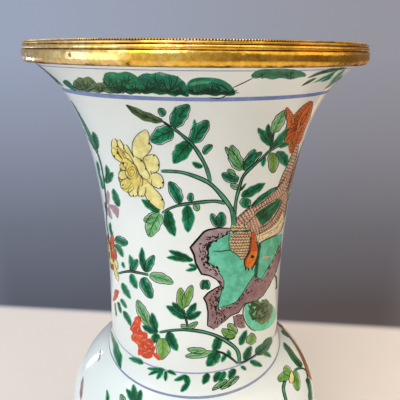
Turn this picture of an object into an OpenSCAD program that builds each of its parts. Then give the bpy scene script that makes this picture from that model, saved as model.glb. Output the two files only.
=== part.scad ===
// Yen yen vase: a porcelain baluster body with a tall trumpet neck, and a gilt metal mount on its lip.
// The outline is a chain of curves, all solids of revolution about Z. Millimetres, foot on Z = 0.

/* [Overall] */
// Height of the vase to the top of the rim mount
total_height = 455; // [430:1:490]

/* [Neck] */
// Outer radius of the porcelain where it turns over into the lip
lip_radius = 104.2; // [97:0.2:112]
// Lean of the trumpet at the lip, from the vertical, in degrees
lip_angle = 46; // [36:1:54]
// How far down the lean of the lip carries along the trumpet
lip_reach = 18.5; // [10:0.5:28]
// Outer radius at the waist of the neck
waist_radius = 66.8; // [60:0.2:74]
// Height of the waist of the neck
waist_height = 300; // [285:1:315]
// How far up the waist carries before the trumpet opens
waist_reach = 122; // [95:1:130]
// Outer radius at the foot of the neck
neck_base_radius = 68; // [62:0.5:76]
// Height of the foot of the neck
neck_base_height = 243; // [236:1:252]
// Wall thickness of the neck
neck_wall = 4.4; // [3:0.1:6]

/* [Body] */
// Outer radius of the belly
belly_radius = 105; // [96:0.5:114]
// Height of the belly at its widest
belly_height = 170; // [158:1:178]
// Length of the upright stretch above the belly
shoulder_reach = 39; // [26:1:44]
// Length of the upright stretch at the foot of the neck
neck_foot_reach = 35.5; // [24:0.5:42]
// Outer radius at the ankle, above the foot
ankle_radius = 66; // [60:0.5:72]
// Height of the ankle
ankle_height = 46; // [38:1:56]
// Length of the upright stretch below the belly
belly_reach = 52; // [36:1:64]
// Length of the upright stretch above the ankle
ankle_reach = 34; // [20:1:44]
// Wall thickness of the body
body_wall = 6; // [4.5:0.1:8]

/* [Foot] */
// Outer radius of the foot
foot_radius = 77; // [72:0.5:84]
// Width of the foot ring
foot_ring_width = 9; // [7:0.5:12]
// Chamfer on the two edges of the foot ring
foot_chamfer = 1.5; // [0.8:0.1:2.5]
// Height that the foot spreads over before it leans in
foot_spread = 14; // [8:1:20]
// Depth of the recess under the base
base_recess = 9; // [5:0.5:14]
// Thickness of the base
base_thickness = 7; // [5:0.5:10]
// Radius of the hollow inside, where the wall meets the base
floor_fillet = 12; // [6:1:16]

/* [Luting] */
// Height of the ring where the neck is joined to the body
neck_joint_height = 226; // [220:1:232]
// Height of the joint between the two halves of the body
belly_joint_height = 148; // [125:1:155]
// Thickness of the slip in a joint
luting_thickness = 3; // [2:0.2:4]
// How far the slip stands out inside the wall
luting_ridge = 1.5; // [0.5:0.1:2.5]

/* [Rim mount] */
// Thickness of the metal
metal = 1.2; // [0.8:0.1:1.6]
// Thickness of the bedding between the lip and the band
band_bedding = 1.9; // [0.8:0.1:3]
// Thickness of the bedding above the lip and inside the mouth
bedding = 0.7; // [0.4:0.1:1.2]
// Height of the plain band
band_height = 6.9; // [5.5:0.1:9]
// Radius of the turned-under lower edge of the band
band_roll = 3.2; // [2:0.1:4]
// Height of the lower reed
lower_reed = 2.5; // [2:0.1:3.4]
// Height of the upper reed
upper_reed = 1.4; // [1:0.1:2]
// How far each reed is set back behind what is below it
reed_setback = 0.6; // [0.2:0.1:1]
// Height of the milled edge
milled_height = 0.8; // [0.5:0.1:1.5]
// Radial width of the milled edge
milled_width = 1.5; // [1:0.1:2]
// How far the milled edge is set in from the upper reed
milled_inset = 1; // [0.4:0.1:1.8]
// Number of teeth on the milled edge
milled_count = 480; // [240:20:600]
// Depth of a tooth on the milled edge
milled_depth = 0.35; // [0.2:0.05:0.5]
// How far the collar reaches down inside the mouth
collar_depth = 10; // [6:0.5:16]

/* [Hidden] */
$fn = 128;

porcelain_white = [0.93, 0.94, 0.93];
biscuit_white = [0.88, 0.85, 0.80];
gilt_gold = [0.80, 0.62, 0.25];
plaster_cream = [0.86, 0.82, 0.72];

// Curves. A point is [radius, height], and every list runs from the foot upwards.
function bezier(a, b, c, d, t) =
    pow(1 - t, 3) * a + 3 * t * pow(1 - t, 2) * b + 3 * t * t * (1 - t) * c + pow(t, 3) * d;
function curve(a, b, c, d, steps) = [for (i = [0 : steps - 1]) bezier(a, b, c, d, i / steps)];
function arc(centre, radius, from, to, steps) =
    [for (i = [0 : steps]) let (a = from + (to - from) * i / steps) centre + radius * [cos(a), sin(a)]];
function reversed(list) = [for (i = [len(list) - 1 : -1 : 0]) list[i]];
function by_height(list) = [for (p = list) [p[1], p[0]]];

// Levels of the rim mount, from the top down
milled_bottom = total_height - milled_height;
lower_reed_top = milled_bottom - upper_reed;
band_top = lower_reed_top - lower_reed;
band_bottom = band_top - band_height;

// The lip is a half round across the wall, bedded under the reeded ring
lip_top = band_top - bedding;
lip_round = neck_wall / 2;
lip_height = lip_top - lip_round * (1 + sin(lip_angle));
lip_centre = [lip_radius - lip_round * cos(lip_angle), lip_height + lip_round * sin(lip_angle)];
lip_arc = arc(lip_centre, lip_round, -lip_angle, 180 - lip_angle, 12);

// Key points of the outside, from the foot to the lip
foot_edge = [foot_radius, foot_chamfer];
ankle = [ankle_radius, ankle_height];
belly = [belly_radius, belly_height];
neck_base = [neck_base_radius, neck_base_height];
waist = [waist_radius, waist_height];
lip = [lip_radius, lip_height];
neck_base_reach = (waist_height - neck_base_height) / 3;

outside = concat(
    curve(foot_edge, foot_edge + [0, foot_spread], ankle - [0, foot_spread], ankle, 12),
    curve(ankle, ankle + [0, ankle_reach], belly - [0, belly_reach], belly, 20),
    curve(belly, belly + [0, shoulder_reach], neck_base - [0, neck_foot_reach], neck_base, 24),
    curve(neck_base, neck_base + [0, neck_base_reach], waist - [0, neck_base_reach], waist, 8),
    curve(waist, waist + [0, waist_reach], lip - lip_reach * [sin(lip_angle), cos(lip_angle)], lip, 32),
    [lip]);

// The inside is the outside moved in along its normal by the wall, which thins from the belly to the neck
wall_table = [[belly_height, body_wall], [neck_base_height, neck_wall]];
function tangent(list, i) =
    let (d = list[min(i + 1, len(list) - 1)] - list[max(i - 1, 0)]) d / norm(d);
function moved_in(list, i, depth) = list[i] - depth * [tangent(list, i)[1], -tangent(list, i)[0]];
function inside_by(extra) =
    [for (i = [0 : len(outside) - 1]) moved_in(outside, i, lookup(outside[i][1], wall_table) + extra)];

inside = inside_by(0);
outside_table = by_height(outside);
inside_table = by_height(inside);
function outside_at(z) = [lookup(z, outside_table), z];
function inside_at(z) = [lookup(z, inside_table), z];
function between(list, low, high) = [for (p = list) if (p[1] > low && p[1] < high) p];
function wall_outside(low, high) =
    concat([outside_at(low)], between(outside, low, high), [outside_at(high)]);
function wall_inside(low, high) =
    concat([inside_at(low)], between(inside, low, high), [inside_at(high)]);

// Planes of the two luted joints
neck_joint = [neck_joint_height - luting_thickness / 2, neck_joint_height + luting_thickness / 2];
belly_joint = [belly_joint_height - luting_thickness / 2, belly_joint_height + luting_thickness / 2];

// The foot ring, the recess under the base and the rounded floor inside
ring_inner = foot_radius - foot_ring_width;
floor_height = base_recess + base_thickness;
floor_edge = inside_at(floor_height + floor_fillet);
underside = [
    [0, base_recess],
    [ring_inner - foot_chamfer, base_recess],
    [ring_inner - foot_chamfer, foot_chamfer],
    [ring_inner, 0],
    [foot_radius - foot_chamfer, 0]];
floor_round = reversed(arc(floor_edge - [floor_fillet, 0], floor_fillet, -90, 0, 8));

// Section of the rim mount. The metal clears the lip by the bedding all round.
band_inner = lip_centre[0] + lip_round + band_bedding;
band_radius = band_inner + metal;
reed_radius = band_radius - reed_setback;
upper_reed_radius = reed_radius - reed_setback;
collar_face = inside_by(bedding);
collar_back = inside_by(bedding + metal);
collar_top = collar_face[len(collar_face) - 1];
collar_back_top = collar_back[len(collar_back) - 1];
collar_bottom = lip_height - collar_depth;
collar_outside = concat(
    [[lookup(collar_bottom, by_height(collar_face)), collar_bottom]],
    between(collar_face, collar_bottom, collar_top[1]),
    [collar_top, [collar_top[0], band_top]]);
collar_inside = concat(
    [[lookup(collar_bottom, by_height(collar_back)), collar_bottom]],
    between(collar_back, collar_bottom, collar_back_top[1]),
    [collar_back_top, [collar_back_top[0], band_top]]);
collar_radius = collar_back_top[0];
flange_tip = outside_at(band_bottom + metal)[0] + bedding;

// Inner face of the band, from the tip of its flange up to the reeded ring
band_face = concat(
    [[flange_tip, band_bottom + metal]],
    arc([band_radius - band_roll, band_bottom + band_roll], band_roll - metal, -90, 0, 8),
    [[band_inner, band_top]]);
band_back = concat(
    [[flange_tip, band_bottom]],
    arc([band_radius - band_roll, band_bottom + band_roll], band_roll, -90, 0, 10),
    [[band_radius, band_top]]);

module turned(points) {
    rotate_extrude() polygon(points);
}

// A stretch of plain wall between two levels
module wall_ring(low, high) {
    turned(concat(wall_outside(low, high), reversed(wall_inside(low, high))));
}

// Slip pressed into a joint: flush outside, with a rounded ridge inside
module luting_ring(joint) {
    low = inside_at(joint[0]);
    high = inside_at(joint[1]);
    ridge = [for (i = [1 : 7]) let (t = i / 8)
        high * (1 - t) + low * t - [luting_ridge * sin(180 * t), 0]];
    turned(concat(wall_outside(joint[0], joint[1]), [high], ridge, [low]));
}

module neck_section() {
    low = neck_joint[1];
    color(porcelain_white)
        turned(concat(
            [outside_at(low)], between(outside, low, lip_height), lip_arc,
            reversed(between(inside, low, inside[len(inside) - 1][1])), [inside_at(low)]));
}

module upper_body_section() {
    color(porcelain_white) wall_ring(belly_joint[1], neck_joint[0]);
}

module lower_body_section() {
    high = belly_joint[0];
    color(porcelain_white)
        turned(concat(
            underside, between(outside, 0, high), [outside_at(high)],
            reversed(wall_inside(floor_edge[1], high)), floor_round, [[0, floor_height]]));
}

module neck_luting_ring() {
    color(biscuit_white) luting_ring(neck_joint);
}

module belly_luting_ring() {
    color(biscuit_white) luting_ring(belly_joint);
}

module rim_band() {
    color(gilt_gold) turned(concat(band_back, reversed(band_face)));
}

// A cast moulding over the lip: two reeds outside, a flat ledge on top, and flush with the collar inside
module reeded_ring() {
    lower = lower_reed / 2;
    upper = upper_reed / 2;
    color(gilt_gold)
        turned(concat(
            [[collar_radius, band_top]],
            arc([reed_radius - lower, band_top + lower], lower, -90, 90, 12),
            arc([upper_reed_radius - upper, lower_reed_top + upper], upper, -90, 90, 10),
            [[collar_radius, milled_bottom]]));
}

// A thin strip with a toothed outer edge
module milled_edge() {
    outer = upper_reed_radius - upper_reed / 2 - milled_inset;
    color(gilt_gold)
        translate([0, 0, milled_bottom])
            difference() {
                linear_extrude(height = milled_height)
                    polygon([for (i = [0 : 2 * milled_count - 1])
                        let (a = 180 * i / milled_count, r = outer - (i % 2) * milled_depth)
                        r * [cos(a), sin(a)]]);
                translate([0, 0, -milled_height])
                    cylinder(r = outer - milled_width, h = 3 * milled_height, $fn = milled_count);
            }
}

module inner_collar() {
    color(gilt_gold) turned(concat(collar_outside, reversed(collar_inside)));
}

// Fills the saddle between the lip and the metal, outside, above and inside
module rim_bedding() {
    bed_low = band_bottom + metal;
    color(plaster_cream)
        turned(concat(
            band_face, reversed(collar_outside),
            [inside_at(collar_bottom)], between(inside, collar_bottom, inside[len(inside) - 1][1]),
            reversed(lip_arc), reversed(between(outside, bed_low, lip_height)), [outside_at(bed_low)]));
}

neck_section();
upper_body_section();
lower_body_section();
neck_luting_ring();
belly_luting_ring();
rim_band();
reeded_ring();
milled_edge();
inner_collar();
rim_bedding();
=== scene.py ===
import math

import bpy
import numpy as np
from mathutils import Matrix, Vector


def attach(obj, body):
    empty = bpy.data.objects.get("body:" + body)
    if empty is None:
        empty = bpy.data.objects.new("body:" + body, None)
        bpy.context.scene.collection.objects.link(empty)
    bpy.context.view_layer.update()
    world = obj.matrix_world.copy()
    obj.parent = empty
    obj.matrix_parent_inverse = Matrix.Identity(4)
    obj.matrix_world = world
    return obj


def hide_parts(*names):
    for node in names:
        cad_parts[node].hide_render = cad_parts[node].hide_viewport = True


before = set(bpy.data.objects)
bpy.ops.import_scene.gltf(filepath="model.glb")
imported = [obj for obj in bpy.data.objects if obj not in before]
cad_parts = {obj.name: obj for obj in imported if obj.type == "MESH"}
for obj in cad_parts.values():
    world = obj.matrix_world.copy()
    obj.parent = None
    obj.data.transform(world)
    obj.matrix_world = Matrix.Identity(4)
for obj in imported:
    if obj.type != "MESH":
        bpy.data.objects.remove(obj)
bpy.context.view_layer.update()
rng = np.random.default_rng(41)
scene = bpy.context.scene
scene.view_settings.view_transform = "Standard"
print("stage: frame loaded")


# sRGB bytes to linear light: a power of 2.4 with a straight foot
def linearTone(red, green, blue):
    c = np.array([red, green, blue], float) / 255
    return np.where(c <= 0.04045, c / 12.92, ((c + 0.055) / 1.055) ** 2.4)


# the same tone with an alpha of 1, as colour sockets take it
def tone4(red, green, blue):
    return (*linearTone(red, green, blue).tolist(), 1.0)


mm = 0.001  # in metres

# lengths in mm, the same as the part's own sizes
vase = dict(
    totalHeight=455, lipRadius=104.2, lipLean=46, lipReach=18.5,
    waistRadius=66.8, waistHeight=300, waistReach=122,
    neckFootRadius=68, neckFootHeight=243, neckWall=4.4,
    bellyRadius=105, bellyHeight=170, shoulderReach=39, neckFootReach=35.5,
    ankleRadius=66, ankleHeight=46, bellyReach=52, ankleReach=34, bodyWall=6,
    footRadius=77, footRing=9, footChamfer=1.5, innerChamferShare=0.6, footSpread=14,
    recess=9, recessLedge=6, recessRound=3, baseThickness=7, floorRound=12,
    neckJoint=226, bellyJoint=148, lutingThickness=3, lutingRidge=1.5, lutingSteps=9, turns=224,
)
mount = dict(
    metal=1.2, rubbed=0.04, bandBedding=1.9, bedding=0.7, bandHeight=6.9, bandRoll=3.2, bandSwell=0.55,
    bandTuck=0.5, bandGroove=0.2, lowerReed=2.5, lowerArc=(-84, 84, 14), upperReed=1.4,
    upperArc=(-80, 90, 12), reedSetback=0.6, reedTuck=0.3, ledgeRound=0.6, turns=288, milledHeight=0.8,
    milledWidth=1.5, milledInset=1, milledCount=480, milledDepth=0.35, milledSteps=6, toothCut=1.8,
    toothRound=0.9, toothBevel=0.12, toothCrown=0.4, collarDepth=10, collarGroove=0.3, beddingGap=0.02,
    beddingRise=1, beddingInset=0.1, beddingDrop=2, beddingTop=0.05, beddingTurns=160)
runSteps = dict(foot=24, body=60, neck=24, trumpet=110)  # points along each run of the outline


# a cubic curve from a to d, pulled towards b and c: weights (1-t)^3, 3t(1-t)^2, 3t^2(1-t) and t^3
def bezierRun(a, b, c, d, steps):
    t = np.linspace(0, 1, steps + 1)[:, None]
    a, b, c, d = (np.asarray(p, float) for p in (a, b, c, d))
    return (1 - t) ** 3 * a + 3 * t * (1 - t) ** 2 * b + 3 * t * t * (1 - t) * c + t ** 3 * d


# points on a circle about (r, z) from one angle to another, in degrees
def arcRun(r, z, radius, start, end, steps):
    a = np.radians(np.linspace(start, end, steps + 1))
    return np.stack([r + radius * np.cos(a), z + radius * np.sin(a)], 1)


# a step straight up in (r, z)
def up(length):
    return np.array([0.0, length])


# the outline of the porcelain, foot to lip: five cubic runs end to end
def outsideCurve(v):
    lean = math.radians(v["lipLean"])
    pull = v["lipReach"] * np.array([math.sin(lean), math.cos(lean)])
    foot = np.array([v["footRadius"], v["footChamfer"]])
    ankle = np.array([v["ankleRadius"], v["ankleHeight"]])
    belly = np.array([v["bellyRadius"], v["bellyHeight"]])
    neckFoot = np.array([v["neckFootRadius"], v["neckFootHeight"]])
    waist = np.array([v["waistRadius"], v["waistHeight"]])
    third = up((v["waistHeight"] - v["neckFootHeight"]) / 3)
    lip = np.array([v["lipRadius"], lipCentre[1] - v["neckWall"] / 2 * math.sin(lean)])
    runs = [
        bezierRun(foot, foot + up(v["footSpread"]), ankle - up(v["footSpread"]), ankle, runSteps["foot"]),
        bezierRun(ankle, ankle + up(v["ankleReach"]), belly - up(v["bellyReach"]), belly, runSteps["body"]),
        bezierRun(belly, belly + up(v["shoulderReach"]), neckFoot - up(v["neckFootReach"]), neckFoot,
                  runSteps["body"]),
        bezierRun(neckFoot, neckFoot + third, waist - third, waist, runSteps["neck"]),
        bezierRun(waist, waist + up(v["waistReach"]), lip - pull, lip, runSteps["trumpet"]),
    ]
    return np.concatenate([runs[0]] + [run[1:] for run in runs[1:]])


mountTop = mount["milledHeight"] + mount["upperReed"] + mount["lowerReed"]
lipTop = vase["totalHeight"] - mountTop - mount["bedding"]
lipTurn = math.radians(vase["lipLean"])
lipCentre = np.array([vase["lipRadius"] - vase["neckWall"] / 2 * math.cos(lipTurn),
                      lipTop - vase["neckWall"] / 2])
outside = outsideCurve(vase)
tangent = np.gradient(outside, axis=0)
tangent /= np.linalg.norm(tangent, axis=1)[:, None]
normal = np.stack([tangent[:, 1], -tangent[:, 0]], 1)
wallHeights = [vase["bellyHeight"], vase["neckFootHeight"]]
wall = np.interp(outside[:, 1], wallHeights, [vase["bodyWall"], vase["neckWall"]])
inside = outside - wall[:, None] * normal
glazeLength = np.concatenate([[0], np.cumsum(np.linalg.norm(np.diff(outside, axis=0), axis=1))])


# a rising curve cut to two heights: ends put in, points within merge mm of them left out
def between(curve, low, high=math.inf, merge=0.02):
    low = max(low, curve[0, 1])
    high = min(high, curve[-1, 1])
    ends = [np.array([[np.interp(z, curve[:, 1], curve[:, 0]), z]]) for z in (low, high)]
    kept = curve[(curve[:, 1] > low + merge) & (curve[:, 1] < high - merge)]
    return np.concatenate([ends[0], kept, ends[1]])


# quads between rows of points; columns always close on themselves, rows only where asked
def gridFaces(rows, columns, closeRows, start=0):
    i = np.arange(rows if closeRows else rows - 1)[:, None]
    j = np.arange(columns)[None, :]
    a, b = start + i * columns, start + (i + 1) % rows * columns
    k = (j + 1) % columns
    return np.stack([a + j, a + k, b + k, b + j], -1).reshape(-1, 4)


# six times the volume a closed mesh holds: the sum of a . (b x c) over its triangles
def signedVolume(points, quads, tris):
    t = np.concatenate([quads[:, [0, 1, 2]], quads[:, [0, 2, 3]], tris])
    return np.einsum("ij,ij->i", points[t[:, 0]], np.cross(points[t[:, 1]], points[t[:, 2]])).sum()


# a mesh from points in mm: quads first, then triangles, all corners in one list
def buildMesh(name, points, quads, tris):
    mesh = bpy.data.meshes.new(name)
    corners = np.concatenate([quads.ravel(), tris.ravel()]).astype(np.int32)
    sizes = np.concatenate([np.full(len(quads), 4), np.full(len(tris), 3)])
    starts = np.concatenate([[0], np.cumsum(sizes)[:-1]]).astype(np.int32)
    mesh.vertices.add(len(points))
    mesh.vertices.foreach_set("co", (points * mm).astype(np.float32).ravel())
    mesh.loops.add(len(corners))
    mesh.loops.foreach_set("vertex_index", corners)
    mesh.polygons.add(len(sizes))
    mesh.polygons.foreach_set("loop_start", starts)
    mesh.update(calc_edges=True)
    mesh.polygons.foreach_set("use_smooth", np.ones(len(sizes), bool))
    return mesh, corners


# a piece takes its material, its body and the nodes that it stands for
def addPiece(name, mesh, material, nodes=()):
    piece = bpy.data.objects.new(name, mesh)
    scene.collection.objects.link(piece)
    mesh.materials.append(material)
    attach(piece, "root")
    if nodes:
        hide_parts(*nodes)
    return piece


# a closed mesh, turned outwards if its volume is negative; edges past an angle in degrees stay crisp
def closedMesh(name, points, quads, tris, sharp):
    if signedVolume(points, quads, tris) < 0:
        quads, tris = quads[:, ::-1], tris[:, ::-1]
    mesh, _ = buildMesh(name, points, quads, tris)
    mesh.set_sharp_from_angle(angle=math.radians(sharp))
    return mesh


# rings of (r, z) about the axis: x = r sin a, y = -r cos a
def ringPoints(r, z, a):
    return np.stack([r * np.sin(a), -r * np.cos(a), z + 0 * a], -1).reshape(-1, 3)


# an outline of (r, z) points turned about the axis; ends that lie on the axis become one point each
def turnedPiece(name, outline, material, nodes, turns=vase["turns"], sharp=35):
    a = np.linspace(0, 2 * math.pi, turns, endpoint=False)
    poles = outline[0, 0] < 1e-6
    rings = outline[1:-1] if poles else outline
    points = ringPoints(rings[:, :1], rings[:, 1:], a)
    quads = gridFaces(len(rings), turns, not poles)
    tris = np.zeros((0, 3), int)
    if poles:
        j = np.arange(turns)
        k = (j + 1) % turns
        last = (len(rings) - 1) * turns
        first = np.full(turns, len(points))
        points = np.concatenate([points, [[0, 0, outline[0, 1]], [0, 0, outline[-1, 1]]]])
        tris = np.concatenate([np.stack([first, k, j], 1), np.stack([first + 1, last + j, last + k], 1)])
    return addPiece(name, closedMesh(name, points, quads, tris, sharp), material, nodes)


# a node's input is linked to an output, or set to a plain value
def plug(tree, socket, value):
    if isinstance(value, bpy.types.NodeSocket):
        tree.links.new(value, socket)
    else:
        socket.default_value = value


# a new node: settings are its options, values go to its inputs
def addNode(tree, kind, values=None, **settings):
    made = tree.nodes.new(kind)
    for key, value in settings.items():
        setattr(made, key, value)
    for key, value in (values or {}).items():
        plug(tree, made.inputs[key], value)
    return made


# one step of arithmetic, named by its operation
def calc(tree, operation, *values):
    return addNode(tree, "ShaderNodeMath", dict(enumerate(values)), operation=operation).outputs[0]


# a + b
def plus(tree, a, b):
    return calc(tree, "ADD", a, b)


# a - b
def minus(tree, a, b):
    return calc(tree, "SUBTRACT", a, b)


# a x b
def times(tree, a, b):
    return calc(tree, "MULTIPLY", a, b)


# the larger of a and b
def larger(tree, a, b):
    return calc(tree, "MAXIMUM", a, b)


# a noise swung about zero: (noise - 0.5) x reach
def swing(tree, noise, reach):
    return times(tree, minus(tree, noise, 0.5), reach)


# distance in a plane: the square root of a squared and b squared
def fromMiddle(tree, a, b):
    return calc(tree, "SQRT", plus(tree, times(tree, a, a), times(tree, b, b)))


# a x (1 - factor) + b x factor, or another blend of the two tones
def mixTone(tree, factor, a, b, blend="MIX"):
    values = {0: factor, 6: a, 7: b}
    return addNode(tree, "ShaderNodeMix", values, data_type="RGBA", blend_type=blend).outputs[2]


# from toLow at low to toHigh at high, along 3t^2 - 2t^3
def smoothMask(tree, value, low, high, toLow=0.0, toHigh=1.0):
    return addNode(tree, "ShaderNodeMapRange", {0: value, 1: low, 2: high, 3: toLow, 4: toHigh},
                   interpolation_type="SMOOTHSTEP").outputs[0]


# layered noise around 0.5, scale per metre: each layer is half as wide and rough times as strong
def noiseAt(tree, place, scale, detail=3.0, rough=0.55):
    values = {"Vector": place, "Scale": scale, "Detail": detail, "Roughness": rough}
    return addNode(tree, "ShaderNodeTexNoise", values).outputs[0]


# distance to the nearest of scattered points, counted in their spacing
def cellsAt(tree, place, scale):
    return addNode(tree, "ShaderNodeTexVoronoi", {"Vector": place, "Scale": scale}).outputs[0]


# x, y and z of a place
def splitPlace(tree, place):
    return addNode(tree, "ShaderNodeSeparateXYZ", {0: place}).outputs


# straight blends from stop to stop along a factor
def toneRamp(tree, factor, stops):
    ramp = addNode(tree, "ShaderNodeValToRGB", {0: factor})
    while len(ramp.color_ramp.elements) < len(stops):
        ramp.color_ramp.elements.new(1.0)
    for element, (position, tone) in zip(ramp.color_ramp.elements, stops):
        element.position = position
        element.color = tone4(*tone)
    return ramp.outputs[0]


# a node group with named inputs and outputs, and the sockets inside it
def newGroup(name, inputs, outputs):
    group = bpy.data.node_groups.new(name, "ShaderNodeTree")
    for way, sockets in (("INPUT", inputs), ("OUTPUT", outputs)):
        for label, kind in sockets:
            group.interface.new_socket(label, in_out=way, socket_type=kind)
    return group, group.nodes.new("NodeGroupInput").outputs, group.nodes.new("NodeGroupOutput").inputs


# a group placed in a material with its own values
def groupNode(tree, group, values):
    return addNode(tree, "ShaderNodeGroup", values, node_tree=group).outputs


# a material with one shader, joined to its output
def newMaterial(name):
    material = bpy.data.materials.new(name)
    material.use_nodes = True
    tree = material.node_tree
    tree.nodes.clear()
    shader = tree.nodes.new("ShaderNodeBsdfPrincipled")
    output = tree.nodes.new("ShaderNodeOutputMaterial")
    tree.links.new(shader.outputs[0], output.inputs[0])
    return material, tree, shader


shaderSockets = dict(tone="Base Color", rough="Roughness", metal="Metallic", normal="Normal")


# each look goes to the shader's own socket
def feed(tree, shader, **looks):
    for key, value in looks.items():
        plug(tree, shader.inputs[shaderSockets[key]], value)


# place on the object in metres
def objectPlace(tree):
    return addNode(tree, "ShaderNodeTexCoord").outputs["Object"]


# a height in shares of a distance in metres, as a tilt of the surface
def bumpFrom(tree, height, strength, distance):
    values = {"Height": height, "Strength": strength, "Distance": distance}
    return addNode(tree, "ShaderNodeBump", values).outputs[0]


plainWhite = (1.0, 1.0, 1.0, 1.0)
glazeLook = dict(waveScale=34.0, waveShare=0.9, peelScale=620.0, peelShare=0.1, smoothest=0.07,
                 roughest=0.15)
wearLook = dict(
    cloudScale=42.0, grainScale=420.0, grainTone=(0.79, 0.65, 0.45, 1.0), patina=(86, 52, 12),
    blotchDepth=0.45, scratchScale=300.0, scratchStretch=7.0, scratchTone=(250, 226, 170),
    scratchDepth=0.35, pitScale=95.0, pitDepth=0.8, stainScale=120.0, dentScale=95.0, dentShare=0.7)


# fired glaze: a slow wave with fine orange peel, and a roughness that drifts with it
def glazeSkinGroup(look):
    group, given, put = newGroup("glazeSkin", [("Place", "NodeSocketVector")],
                                 [("Height", "NodeSocketFloat"), ("Roughness", "NodeSocketFloat")])
    wave = noiseAt(group, given[0], look["waveScale"], 2.0)
    peel = noiseAt(group, given[0], look["peelScale"], 2.0)
    height = plus(group, times(group, wave, look["waveShare"]), times(group, peel, look["peelShare"]))
    group.links.new(height, put[0])
    group.links.new(smoothMask(group, wave, 0.3, 0.7, look["smoothest"], look["roughest"]), put[1])
    return group


# worn gilding over a given tone that carries painted light: brown patina in blotches and where the groove
# mask is high, pits, dents and scratches
def giltWearGroup(look):
    group, given, put = newGroup(
        "giltWear", [("Place", "NodeSocketVector"), ("Groove", "NodeSocketFloat"),
                     ("LitGilt", "NodeSocketColor")],
        [("Tone", "NodeSocketColor"), ("Roughness", "NodeSocketFloat"), ("Height", "NodeSocketFloat")])
    place = given[0]
    cloud = noiseAt(group, place, look["cloudScale"], 5.0, 0.62)
    grain = noiseAt(group, place, look["grainScale"], 4.0, 0.6)
    stretch = addNode(group, "ShaderNodeVectorMath", {0: place, 1: (1.0, 1.0, look["scratchStretch"])},
                      operation="MULTIPLY").outputs[0]
    scratch = smoothMask(group, noiseAt(group, stretch, look["scratchScale"], 6.0, 0.75), 0.62, 0.74)
    pits = cellsAt(group, place, look["pitScale"])
    pit = times(group, smoothMask(group, pits, 0.16, 0.05), smoothMask(group, grain, 0.45, 0.6))
    blotch = times(group, smoothMask(group, cloud, 0.47, 0.66), look["blotchDepth"])
    spread = smoothMask(group, noiseAt(group, place, look["stainScale"], 4.0, 0.65), 0.25, 0.6)
    stain = plus(group, times(group, given[1], spread), times(group, pit, look["pitDepth"]))
    dark = calc(group, "MINIMUM", plus(group, blotch, stain), 1.0)
    grained = mixTone(group, smoothMask(group, grain, 0.35, 0.7), plainWhite, look["grainTone"])
    warm = mixTone(group, 1.0, given[2], grained, "MULTIPLY")
    tone = mixTone(group, dark, warm, tone4(*look["patina"]))
    bright = times(group, scratch, look["scratchDepth"])
    group.links.new(mixTone(group, bright, tone, tone4(*look["scratchTone"])), put[0])
    rough = plus(group, smoothMask(group, cloud, 0.3, 0.75, 0.2, 0.36), times(group, dark, 0.25))
    group.links.new(rough, put[1])
    dent = minus(group, cloud, times(group, pit, 0.5))
    dent = plus(group, dent, times(group, noiseAt(group, place, look["dentScale"], 2.0), look["dentShare"]))
    group.links.new(plus(group, dent, times(group, grain, 0.08)), put[2])
    return group


glazeSkin = glazeSkinGroup(glazeLook)
giltWear = giltWearGroup(wearLook)

# bare clay at the foot: lengths in metres
porcelainLook = dict(
    white=(239, 243, 239), shade=(228, 235, 233), driftScale=9.0, speck=(120, 105, 90), speckScale=210.0,
    speckPatch=60.0, speckDepth=0.55, bare=(214, 196, 170), bareTo=0.0026, bareFade=0.0004,
    bareRagged=0.0008, raggedScale=160.0, bareRough=0.55)


# white glaze that drifts a little in tone, with kiln specks, and bare where the foot stands
def porcelainMaterial(look):
    material, tree, shader = newMaterial("porcelain")
    place = objectPlace(tree)
    skin = groupNode(tree, glazeSkin, {0: place})
    drift = smoothMask(tree, noiseAt(tree, place, look["driftScale"], 3.0), 0.35, 0.7)
    tone = mixTone(tree, drift, tone4(*look["white"]), tone4(*look["shade"]))
    # kiln specks: small cells, kept only where a slow noise is high
    cells = smoothMask(tree, cellsAt(tree, place, look["speckScale"]), 0.11, 0.05)
    speck = times(tree, cells, smoothMask(tree, noiseAt(tree, place, look["speckPatch"], 2.0), 0.62, 0.7))
    tone = mixTone(tree, times(tree, speck, look["speckDepth"]), tone, tone4(*look["speck"]))
    # the foot ring is wiped bare where it stands
    ragged = times(tree, noiseAt(tree, place, look["raggedScale"], 2.0), look["bareRagged"])
    edge = plus(tree, splitPlace(tree, place)[2], ragged)
    bare = smoothMask(tree, edge, look["bareTo"] + look["bareFade"], look["bareTo"])
    tone = mixTone(tree, bare, tone, tone4(*look["bare"]))
    rough = plus(tree, skin[1], times(tree, bare, look["bareRough"]))
    feed(tree, shader, tone=tone, rough=rough, normal=bumpFrom(tree, skin[0], 0.25, 0.0006))
    return material


# grooves and wander in metres, the stain's height and the darkening between the teeth in mm
giltLook = dict(
    groovePeak=0.8, grooveReach=0.0004, wander=0.0007, wanderScale=70.0, stainHeight=1.5, stainScale=85.0,
    stainPeak=1.3, gapDarkNear=(1.0, 0.8), gapDarkDepth=(0.15, 0.4), gapDarkPeak=1.8, ragged=0.0016,
    raggedScale=420.0, knockPeak=1.3, span=0.216, drift=0.9, driftScale=48.0)
# unworn gilding across the mount, left to right, with painted light: a painted highlight makes it pale on the
# left, painted shade makes it deep on the right
giltLightAcross = [(0.0, (240, 200, 116)), (0.3, (244, 217, 158)), (0.5, (240, 194, 84)), (0.8, (229, 178, 66))]
# old knocks on the band: angle in degrees, height in mm, reach in mm
knocks = dict(
    pit=(-31.2, 448.0, 1.3), dentUpper=(41.2, 447.8, 1.6), dentLower=(43.2, 444.9, 1.8),
    nick=(12.0, 443.6, 1.1))
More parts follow.
